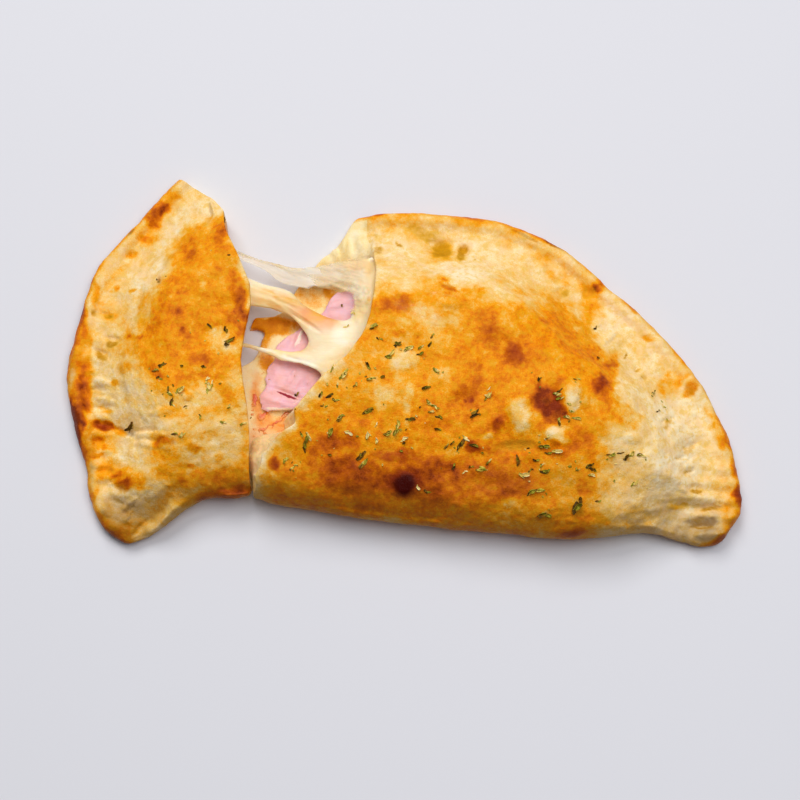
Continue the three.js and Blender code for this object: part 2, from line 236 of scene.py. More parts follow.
def insideOf(outline, across, down):
    # signed distance to a closed outline in the view, positive inside
    closed = np.vstack([outline, outline[:1]])
    distance, _ = nearestOn(closed, np.stack([across, down], axis=1))
    inside = np.zeros(len(across), dtype=bool)
    for (x1, y1), (x2, y2) in zip(closed[:-1], closed[1:]):
        crosses = (y1 > down) != (y2 > down)
        inside ^= crosses & (across < (x2 - x1) * (down - y1) / (y2 - y1 or 1) + x1)
    return np.where(inside, distance, -distance)


# Ovals are listed as (across, down, half length, half width, turn, amount): their middle and
# size in pixels of the view, how far their length turns anticlockwise, and how much they add.
# They fade out between two shares of their size.
ovalFade = (1.25, 0.45)


def patches(ovals, spot, warp=(0, 0), share=1):
    # the sum of soft ovals at places in the view, frayed by a share of the warp
    total = np.zeros(len(spot[0]))
    for across, down, long, short, turn, amount in ovals:
        c, s = cos(radians(turn)), sin(radians(turn))
        u, v = spot[0] + warp[0] * share - across, spot[1] + warp[1] * share - down
        total += amount * smoothStep(*ovalFade, np.hypot((u * c - v * s) / long,
                                                         (u * s + v * c) / short))
    return total


def warpOf(points, pixels, size, seed, octaves=3):
    return tuple(pixels * grain(points, size, seed + i, octaves) for i in (0, 1))


def tint(red, green, blue):
    # a colour given as it looks on a screen, 0 to 255
    return tuple((v / 255 / 12.92 if v < 10 else ((v / 255 + 0.055) / 1.055) ** 2.4)
                 for v in (red, green, blue)) + (1.0,)


class Signal:
    def __init__(self, finish, socket):
        self.finish = finish
        self.socket = socket

    def maths(self, operation, first, second, clamp=False):
        return self.finish.add("ShaderNodeMath", {"operation": operation, "use_clamp": clamp},
                               {0: first, 1: second})

    def __add__(self, other):
        return self.maths("ADD", self, other)

    def __radd__(self, other):
        return self.maths("ADD", other, self)

    def __sub__(self, other):
        return self.maths("SUBTRACT", self, other)

    def __rsub__(self, other):
        return self.maths("SUBTRACT", other, self)

    def __mul__(self, other):
        return self.maths("MULTIPLY", self, other)

    def clamped(self):
        return self.maths("ADD", self, 0.0, clamp=True)

    def step(self, low, high):
        return self.finish.add("ShaderNodeMapRange", {"interpolation_type": "SMOOTHSTEP"},
                               {"Value": self, "From Min": low, "From Max": high})


class Finish:
    def __init__(self, name):
        self.material = bpy.data.materials.new(name)
        self.material.use_nodes = True
        self.tree = self.material.node_tree
        self.tree.nodes.clear()

    def add(self, kind, settings=None, inputs=None, output=0):
        node = self.tree.nodes.new(kind)
        for name, value in (settings or {}).items():
            if name == "stops":
                self.setStops(node.color_ramp, value)
            else:
                setattr(node, name, value)
        for name, value in (inputs or {}).items():
            if isinstance(value, Signal):
                self.tree.links.new(value.socket, node.inputs[name])
            else:
                node.inputs[name].default_value = value
        return Signal(self, node.outputs[output]) if node.outputs else None

    def setStops(self, ramp, stops):
        while len(ramp.elements) < len(stops):
            ramp.elements.new(1)
        for element, (place, colour) in zip(ramp.elements, stops):
            element.position = place
            element.color = colour

    def layer(self, name):
        return self.add("ShaderNodeAttribute", {"attribute_name": name}, output="Fac")

    def place(self):
        return self.add("ShaderNodeTexCoord", output="Object")

    def noise(self, size, detail=3.0, roughness=0.55, stretch=None):
        where = self.place()
        if stretch:
            turn, share = stretch
            where = self.add("ShaderNodeMapping", {}, {
                "Vector": where, "Rotation": (0, 0, radians(-turn)), "Scale": (share, 1.0, 1.0)})
        return self.add("ShaderNodeTexNoise", {}, {
            "Vector": where, "Scale": 1 / (size * mm), "Detail": detail, "Roughness": roughness})

    def cells(self, size):
        return self.add("ShaderNodeTexVoronoi", {}, {
            "Vector": self.place(), "Scale": 1 / (size * mm)}, "Distance")

    def ramp(self, value, stops):
        return self.add("ShaderNodeValToRGB", {"stops": stops}, {"Fac": value}, "Color")

    def mix(self, part, first, second):
        return self.add("ShaderNodeMix", {"data_type": "RGBA"},
                        {0: part, 6: first, 7: second}, 2)

    def coated(self, colour, look, coats):
        # the look's tints laid over a colour one after the other, each by its part
        for name, part in coats:
            colour = self.mix(part, colour, look[name])
        return colour

    def bump(self, height, depth):
        return self.add("ShaderNodeBump", {}, {
            "Strength": 1.0, "Distance": depth * mm, "Height": height})

    def surface(self, inputs):
        shader = self.add("ShaderNodeBsdfPrincipled", {}, {"Subsurface Scale": 1.0, **inputs})
        self.add("ShaderNodeOutputMaterial", {}, {"Surface": shader})
        return self.material


def pieceFrom(work, name):
    mesh = bpy.data.meshes.new(name)
    work.to_mesh(mesh)
    work.free()
    return linked(name, mesh)


def thicken(work, thickness):
    # from sheets in mm to closed solids in metres
    bmesh.ops.solidify(work, geom=work.faces[:], thickness=thickness)
    bmesh.ops.recalc_face_normals(work, faces=work.faces)
    bmesh.ops.scale(work, vec=(mm, mm, mm), verts=work.verts)


def mergedCopy(node, name):
    work = bmesh.new()
    work.from_mesh(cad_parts[node].data)
    bmesh.ops.remove_doubles(work, verts=work.verts, dist=mm / 1000)
    return pieceFrom(work, name)


def applyModifiers(piece):
    ready = piece.evaluated_get(bpy.context.evaluated_depsgraph_get())
    mesh = bpy.data.meshes.new_from_object(ready)
    old = piece.data
    piece.modifiers.clear()
    piece.data = mesh
    bpy.data.meshes.remove(old)
    mesh.name = piece.name


def remesh(piece, voxel):
    change = piece.modifiers.new("remesh", "REMESH")
    change.mode = "VOXEL"
    change.voxel_size = voxel * mm
    applyModifiers(piece)


def thinOut(piece, hidden, ratio):
    group = piece.vertex_groups.new(name="hidden")
    for index in np.flatnonzero(hidden).tolist():
        group.add([index], 1.0, "REPLACE")
    change = piece.modifiers.new("thinOut", "DECIMATE")
    change.ratio = ratio
    change.vertex_group = "hidden"
    change.vertex_group_factor = 10
    applyModifiers(piece)
    piece.vertex_groups.clear()


dough = {
    "voxel": 0.75, "wall": 4.5,
    "rimEdge": 4.2, "bead": 9.6, "beadCrest": 4.5, "band": 7.6, "bandStart": 9,
    "crimpPitch": 8.6, "crimpDepth": 1.7, "crimpFade": 5,
    "bandFill": 0.5, "climbStretch": 16, "foldEdge": 12, "foldClimbStart": 4, "ridge": 16,
    # which part of the skin is the top: how far off the wanted height, and how steep
    "topReach": (3.4, 2.2), "topLean": (0.1, 0.35), "cutBlur": 0.6,
    # weights and rounds of the smoothing, and where it stays away
    "evened": (0.5, 4), "softened": (0.6, 40), "softFade": (1.2, 0.7), "flatBelow": 0.3,
    "hiddenDepth": 3.4, "hiddenReach": 4,
    # what sculpting adds, as heights, lump sizes and seeds
    "warp": (5, 9, 1), "reliefWarp": 0.3, "reliefDepth": 0.75, "climbLimits": (-1.2, 6),
    "lumps": ((1.4, 24, 3), (0.7, 9, 4)), "sideLumps": ((0.5, 14, 6), (0.25, 4, 7)),
    "pimples": {"size": 3.2, "seed": 5, "level": 0.2, "height": 0.4},
    "skin": 0.3, "edgeFade": (0, 3), "side": (4, 1.5), "sideAbove": (0.4, 2.5),
}

# Outlines are knots. Softened places, bumps, wrinkles and nudges have a middle and a radius,
# then a bump's rise, the wrinkles' pitch and rise, or a nudge's step. A cut shift is a step
# along x and the soft limits that hold it in, each as axis, low and high.
largePiece = {
    "node": "crust_main", "name": "bakedCrust", "kept": 0.44,
    "dome": 39, "bandEnd": 19, "rimClimb": 30,
    "foldShoulder": 25, "foldRadius": 15, "foldClimb": 58,
    "rimBrown": 0.08, "cutSkin": 0,
    "softened": [(-21, 60, 15), (114, -80, 15), (-61, 11, 10)],
    "fold": [
        (-90, -64), (-60, -67.6), (-22, -72.8), (12, -77), (44, -80.8), (66, -83.8), (84, -84.2),
        (102, -81.6), (112, -81.4), (124, -84.2), (134, -86),
    ],
    "rim": [
        (134, -86), (141, -85), (147, -79.5), (152, -71), (152.4, -63), (149, -45), (145, -28.5),
        (137.5, -14), (127, 1.5), (112, 18.3), (95, 34.4), (77, 51), (64, 58.8), (52, 64),
        (40, 67.3), (26, 69), (8, 70.3), (-14, 70.3), (-34, 68), (-48, 62),
    ],
    "bumps": [
        (48, -24, 11, 1.6), (72, -20, 9, 1.4), (60, -38, 8, 1.2), (96, -60, 14, -2.4),
        (17, 54, 6, -2.2), (28, 52, 3.5, -2),
    ],
    "wrinkles": (138, -70, 20, 7.5, 1.1),
    # where the cut of the top crust runs: x for each y
    "topCut": (
        (-70.4, -68.4, -67.6, -64, -54.5, -47, -39.5, -33.4, -27, -20.4, -17, -14.6, -13, -13.4,
         -16, -16),
        (-75, -52, -43, -35, -28.6, -19, -10, -6.6, -3, 6.5, 17.6, 31, 41, 49, 59, 120),
    ),
    "cutShift": (-6, ((1, 1, -5), (1, -62, -56), (0, -52, -64), (2, 10, 6))),
    "nudges": [
        (-64, 13.5, 6, -2.5, 0.5), (-20, -74, 26, 0, -0.9), (18, -78, 26, 0, -1),
        (84, -86, 20, 0, 0.9), (150, -78, 9, -1, 0.6), (144, -24, 10, -0.8, -0.4),
        (-67, -66, 7, 2, 1.4),
    ],
    "crimpKeep": [(700, 430, 70, 130, 0, 0.1), (610, 310, 60, 40, -40, 0.1)],
    "relief": [
        (430, 234, 26, 6, -10, -0.5), (441, 250, 15, 9, 0, -2), (464, 254, 5, 6, 0, -2),
        (470, 242, 40, 5, -5, 0.3), (398, 245, 3, 3, 0, -1.2), (375, 234, 4, 5, 0, -0.9),
        (378, 250, 5, 4, 0, -1.1), (477, 261, 2, 2, 0, -0.9), (521, 412, 13, 20, 10, 1.9),
        (572, 398, 9, 17, -20, 1.7), (558, 437, 14, 8, -20, 1.5), (405, 361, 14, 9, 10, 1),
        (491, 435, 6, 4, 0, 0.9), (450, 300, 16, 8, -5, 1.5), (517, 447, 20, 7, 5, -1.5),
        (404, 484, 12, 11, 0, 1.4), (540, 400, 13, 14, 0, 0.9), (609, 340, 10, 4, 50, 1.3),
        (595, 327, 5, 4, 0, 0.8), (582, 309, 12, 3, -20, 0.9), (562, 293, 7, 5, 0, -1.3),
        (590, 294, 8, 8, 0, -0.9), (632, 438, 10, 6, 0, 1), (626, 358, 2.5, 2, 0, -1),
        (635, 372, 3, 3, 0, -1.1), (643, 381, 4, 3.5, 0, -1), (667, 423, 8, 3, 15, -1.3),
        (689, 448, 9, 3, 25, -1.5), (679, 460, 6, 2.5, 20, -1.2), (688, 474, 6, 2.5, 25, -1.2),
        (694, 490, 8, 4, 0, -1.4), (679, 505, 12, 4, 0, -0.6), (682, 441, 12, 4, 35, 0.6),
        (690, 466, 12, 4, 30, 0.6), (676, 431, 10, 4, 38, 0.5), (709, 498, 15, 4, 8, 0.8),
        (711, 508, 17, 4, 6, -1), (706, 517, 14, 4, 2, 0.7), (702, 528, 15, 2.5, 2, -0.9),
        (707, 535, 14, 4, 0, 0.6), (640, 520, 26, 7, 10, -0.8), (497, 424, 7, 8, 0, 0.6),
        (476, 446, 9, 6, -15, 0.7), (513, 353, 9, 9, 0, 0.6), (600, 470, 30, 8, 20, -0.4),
        (600, 385, 9, 9, 0, 0.5),
    ],
    "golden": [
        (366, 300), (376, 287), (409, 289), (444, 286), (467, 286), (485, 301), (504, 306),
        (530, 308), (552, 305), (572, 313), (590, 325), (596, 345), (608, 358), (614, 380),
        (620, 400), (632, 412), (630, 425), (604, 436), (600, 450), (600, 470), (596, 492),
        (600, 516), (600, 540), (530, 540), (480, 538), (430, 534), (380, 526), (330, 518),
        (285, 510), (262, 502), (258, 480), (272, 448), (296, 410), (318, 386), (343, 362),
        (358, 336),
    ],
    "browned": [
        (396, 300, 19, 12, 0, 0.12), (384, 302, 14, 16, 0, 0.04), (447, 289, 9, 4, -10, 0.2),
        (488, 322, 20, 13, -60, 0.11), (492, 335, 7, 9, 0, 0.04), (514, 354, 11, 12, 20, 0.16),
        (523, 362, 8, 8, 0, 0.1), (505, 345, 26, 20, -40, 0.08), (396, 335, 6, 5, 0, 0.16),
        (413, 334, 5, 4, 0, 0.14), (387, 377, 9, 7, 0, 0.16), (470, 395, 20, 16, 0, 0.14),
        (463, 400, 3, 2.5, 0, 0.22), (472, 399, 4, 3.5, 0, 0.26), (499, 424, 6, 9, 0, 0.24),
        (545, 395, 16, 17, -40, 0.42), (552, 412, 14, 12, -35, 0.36), (560, 381, 8, 7, 0, 0.1),
        (543, 426, 8, 8, 0, 0.18), (398, 453, 24, 9, 0, 0.16), (385, 454, 10, 7, 0, 0.1),
        (404, 484, 20, 16, 0, 0.26), (476, 446, 9, 6, -15, 0.3), (276, 466, 9, 7, 20, 0.34),
        (330, 442, 34, 12, 10, 0.1), (345, 452, 50, 20, -5, 0.08), (601, 385, 9, 10, 0, 0.24),
        (611, 364, 7, 8, 0, 0.2), (591, 350, 9, 8, 0, 0.12), (598, 358, 2, 2, 0, 0.3),
        (626, 407, 7, 4, 0, 0.12), (641, 417, 4, 6, 0, 0.14), (580, 440, 20, 12, 10, 0.14),
        (583, 488, 11, 9, 0, 0.2), (575, 530, 15, 5, 0, 0.3), (324, 396, 5, 4, 0, 0.2),
        (560, 335, 30, 18, -20, 0.08), (455, 226, 100, 13, -5, 0.07), (376, 217, 10, 4, 0, 0.26),
        (405, 220, 22, 4, 0, 0.12), (430, 220, 18, 6, 0, 0.1), (470, 223, 22, 7, -8, 0.12),
        (498, 229, 22, 7, -15, 0.08), (524, 233, 26, 5, -26, 0.14), (554, 244, 20, 4, -32, 0.34),
        (508, 243, 12, 5, 0, 0.14), (536, 250, 16, 6, -30, 0.12), (600, 289, 5, 9, 35, 0.34),
        (627, 306, 18, 3, -35, 0.2), (645, 338, 11, 4, -5, 0.3), (684, 376, 6, 9, -40, 0.2),
        (692, 388, 8, 10, -30, 0.42), (710, 411, 5, 10, 25, 0.22), (712, 430, 5, 5, 0, 0.2),
        (725, 446, 7, 6, 0, 0.26), (731, 468, 6, 11, 25, 0.26), (738, 495, 6, 13, 15, 0.42),
        (722, 540, 12, 5, 20, 0.3), (716, 483, 6, 6, 0, 0.16), (679, 505, 9, 4, 0, 0.2),
        (700, 505, 12, 10, 0, 0.1), (580, 283, 26, 12, -35, 0.16), (560, 300, 20, 10, -20, 0.12),
        (626, 340, 14, 8, -50, 0.1), (640, 372, 10, 20, 30, 0.06), (655, 480, 34, 22, 20, 0.06),
        (630, 514, 44, 16, 5, 0.12), (728, 505, 14, 26, 10, 0.2), (690, 524, 40, 14, 5, -0.04),
        (600, 522, 40, 12, -2, 0.08), (599, 287, 10, 9, 35, 0.2), (621, 301, 14, 6, -40, -0.14),
        (620, 470, 24, 24, 0, 0.08), (405, 361, 15, 9, 10, -0.32), (410, 402, 26, 6, 85, -0.16),
        (425, 315, 22, 9, -20, -0.12), (521, 412, 12, 18, 10, -0.38), (572, 398, 9, 16, -20, -0.4),
        (558, 437, 13, 8, -20, -0.34), (536, 430, 26, 10, -10, -0.1), (491, 435, 8, 4, 0, -0.3),
        (440, 372, 12, 12, 0, -0.1), (508, 505, 10, 7, 0, -0.2), (612, 300, 16, 8, -35, 0.05),
        (520, 285, 50, 12, -8, 0.1), (350, 375, 18, 5, 30, -0.08), (397, 318, 20, 5, -10, -0.08),
        (450, 318, 22, 6, -5, -0.06), (385, 395, 14, 6, 0, -0.12), (268, 324, 32, 10, -5, 0.62),
        (260, 340, 12, 10, 0, 0.45), (265, 360, 12, 9, 0, 0.5), (312, 297, 24, 13, 0, 0.3),
        (330, 292, 10, 9, 0, 0.2), (262, 420, 16, 10, 20, 0.1), (430, 243, 30, 18, -15, 0.14),
        (441, 249, 15, 10, 0, 0.24), (464, 254, 8, 8, 0, 0.24), (540, 262, 20, 6, -20, 0.14),
        (556, 278, 14, 5, -30, 0.16), (520, 270, 14, 6, -10, 0.1), (380, 262, 8, 6, 0, 0.12),
        (668, 360, 10, 14, -40, 0.06), (452, 272, 34, 12, 0, -0.08), (440, 322, 44, 24, 0, -0.07),
        (385, 375, 30, 40, 0, -0.06), (596, 330, 12, 40, 15, 0.1), (609, 386, 11, 24, 0, 0.2),
        (602, 470, 16, 40, 0, 0.12), (664, 385, 14, 18, -30, 0.1), (672, 525, 54, 14, 5, 0.06),
        (672, 470, 22, 26, 0, -0.1), (375, 228, 26, 14, -10, 0.16), (405, 230, 26, 10, -5, 0.1),
        (392, 282, 14, 8, 0, 0.1), (520, 300, 44, 12, 10, 0.07), (556, 270, 20, 16, -30, 0.08),
        (500, 400, 60, 50, 0, 0.08), (715, 520, 24, 24, 0, 0.06), (385, 462, 36, 14, 0, -0.1),
        (462, 278, 28, 12, 0, -0.22), (440, 330, 22, 18, 0, -0.06), (592, 305, 14, 18, 20, 0.26),
        (672, 380, 13, 22, -30, 0.24), (719, 430, 8, 20, 20, 0.26), (668, 478, 20, 24, 0, -0.06),
        # the wide flat ovals turned by -4 to -7 from here on darken the front of the folded side:
        # partly browning, partly painted shade
        (690, 415, 40, 60, -30, -0.1), (640, 330, 20, 40, 50, -0.04), (268, 490, 24, 10, -6, 0.1),
        (330, 504, 70, 14, -7, 0.1), (430, 514, 110, 18, -6, 0.08), (440, 480, 120, 26, -5, 0.26),
        (340, 474, 70, 22, -5, 0.12), (380, 440, 110, 40, -5, 0.06), (520, 534, 70, 9, -4, 0.08),
        (560, 500, 30, 20, 0, -0.04), (287, 421, 9, 12, 30, -0.3), (520, 452, 60, 14, 0, 0.12),
        (262, 452, 12, 26, 20, -0.2), (410, 405, 12, 14, 0, -0.08), (440, 470, 50, 12, 0, 0.05),
    ],
    "burnt": [
        (545, 397, 7, 5, 0, 0.3), (549, 404, 12, 6, -35, 0.3), (557, 417, 5, 7, 0, 0.36),
        (404, 484, 14, 12, 0, 0.9), (403, 497, 12, 9, 0, 0.25), (526, 236, 22, 2.5, -27, 0.4),
        (554, 246, 16, 2.5, -32, 0.45),
    ],
    # painted shade in ovals along the front and the right corner; the negative oval lightens it
    "dusk": [
        (680, 532, 50, 10, 5, 0.4), (700, 500, 24, 14, 0, -0.15), (716, 530, 16, 16, 20, 0.2),
        (400, 500, 70, 16, -8, 0.2), (530, 478, 80, 18, 0, 0.24),
    ],
    "rust": [
        (549, 401, 15, 12, -40, 0.36), (392, 454, 24, 8, 0, 0.5), (472, 398, 6, 5, 0, 0.5),
        (476, 446, 9, 6, -15, 0.5), (514, 354, 10, 10, 0, 0.4), (276, 466, 8, 6, 20, 0.4),
        (404, 484, 20, 16, 0, 0.5), (492, 328, 9, 8, 0, 0.2), (396, 300, 14, 8, 0, 0.2),
        (447, 289, 8, 4, -10, 0.3), (499, 424, 5, 8, 0, 0.3), (601, 385, 8, 8, 0, 0.25),
        (611, 364, 6, 7, 0, 0.2), (345, 470, 14, 6, 0, 0.2), (583, 488, 9, 7, 0, 0.2),
        (574, 530, 14, 4, 0, 0.4), (692, 388, 7, 9, -30, 0.3), (738, 495, 5, 12, 15, 0.3),
    ],
    # painted shade in dents and crimp grooves, an olive-gold tint
    "olive": [
        (424, 234, 19, 7, -18, 0.6), (440, 249, 13, 9, -10, 0.9), (463, 254, 6, 7, 10, 0.9),
        (477, 261, 2, 2, 0, 0.8), (375, 235, 4, 4, 0, 0.5), (378, 250, 5, 4, 0, 0.7),
        (398, 245, 4, 3, 0, 0.8), (562, 293, 6, 4, 20, 0.6), (590, 294, 9, 8, 0, 0.5),
        (626, 358, 2.5, 2, 0, 0.8), (635, 372, 3, 3, 0, 0.7), (643, 381, 4, 4, 0, 0.6),
        (667, 423, 7, 2.5, 15, 0.6), (689, 448, 8, 2.5, 25, 0.6), (679, 460, 5, 2, 20, 0.6),
        (688, 474, 5, 2, 25, 0.6), (694, 490, 7, 3, 0, 0.9), (679, 505, 10, 4, 0, 0.5),
        (710, 508, 16, 3.5, 5, 0.8), (700, 528, 14, 2, 0, 0.7), (517, 445, 20, 8, 5, 0.5),
        (610, 508, 9, 11, 0, 0.4), (486, 241, 25, 2, -3, 0.3), (618, 345, 4, 10, -40, 0.3),
    ],
    "oil": [(437, 294, 12, 3, -10, 0.7), (456, 297, 9, 3, -10, 0.6), (420, 312, 24, 7, -20, 0.4)],
    "sauced": [
        (256, 402, 6, 18, 10, 0.8), (263, 420, 12, 8, 20, 0.7), (276, 424, 15, 5, 25, 0.6),
        (258, 434, 12, 7, 0, 0.45), (284, 417, 10, 4, 30, 0.4), (255, 380, 6, 10, 0, 0.4),
        (272, 434, 14, 6, 25, 0.4), (266, 356, 8, 8, 0, 0.4),
    ],
}

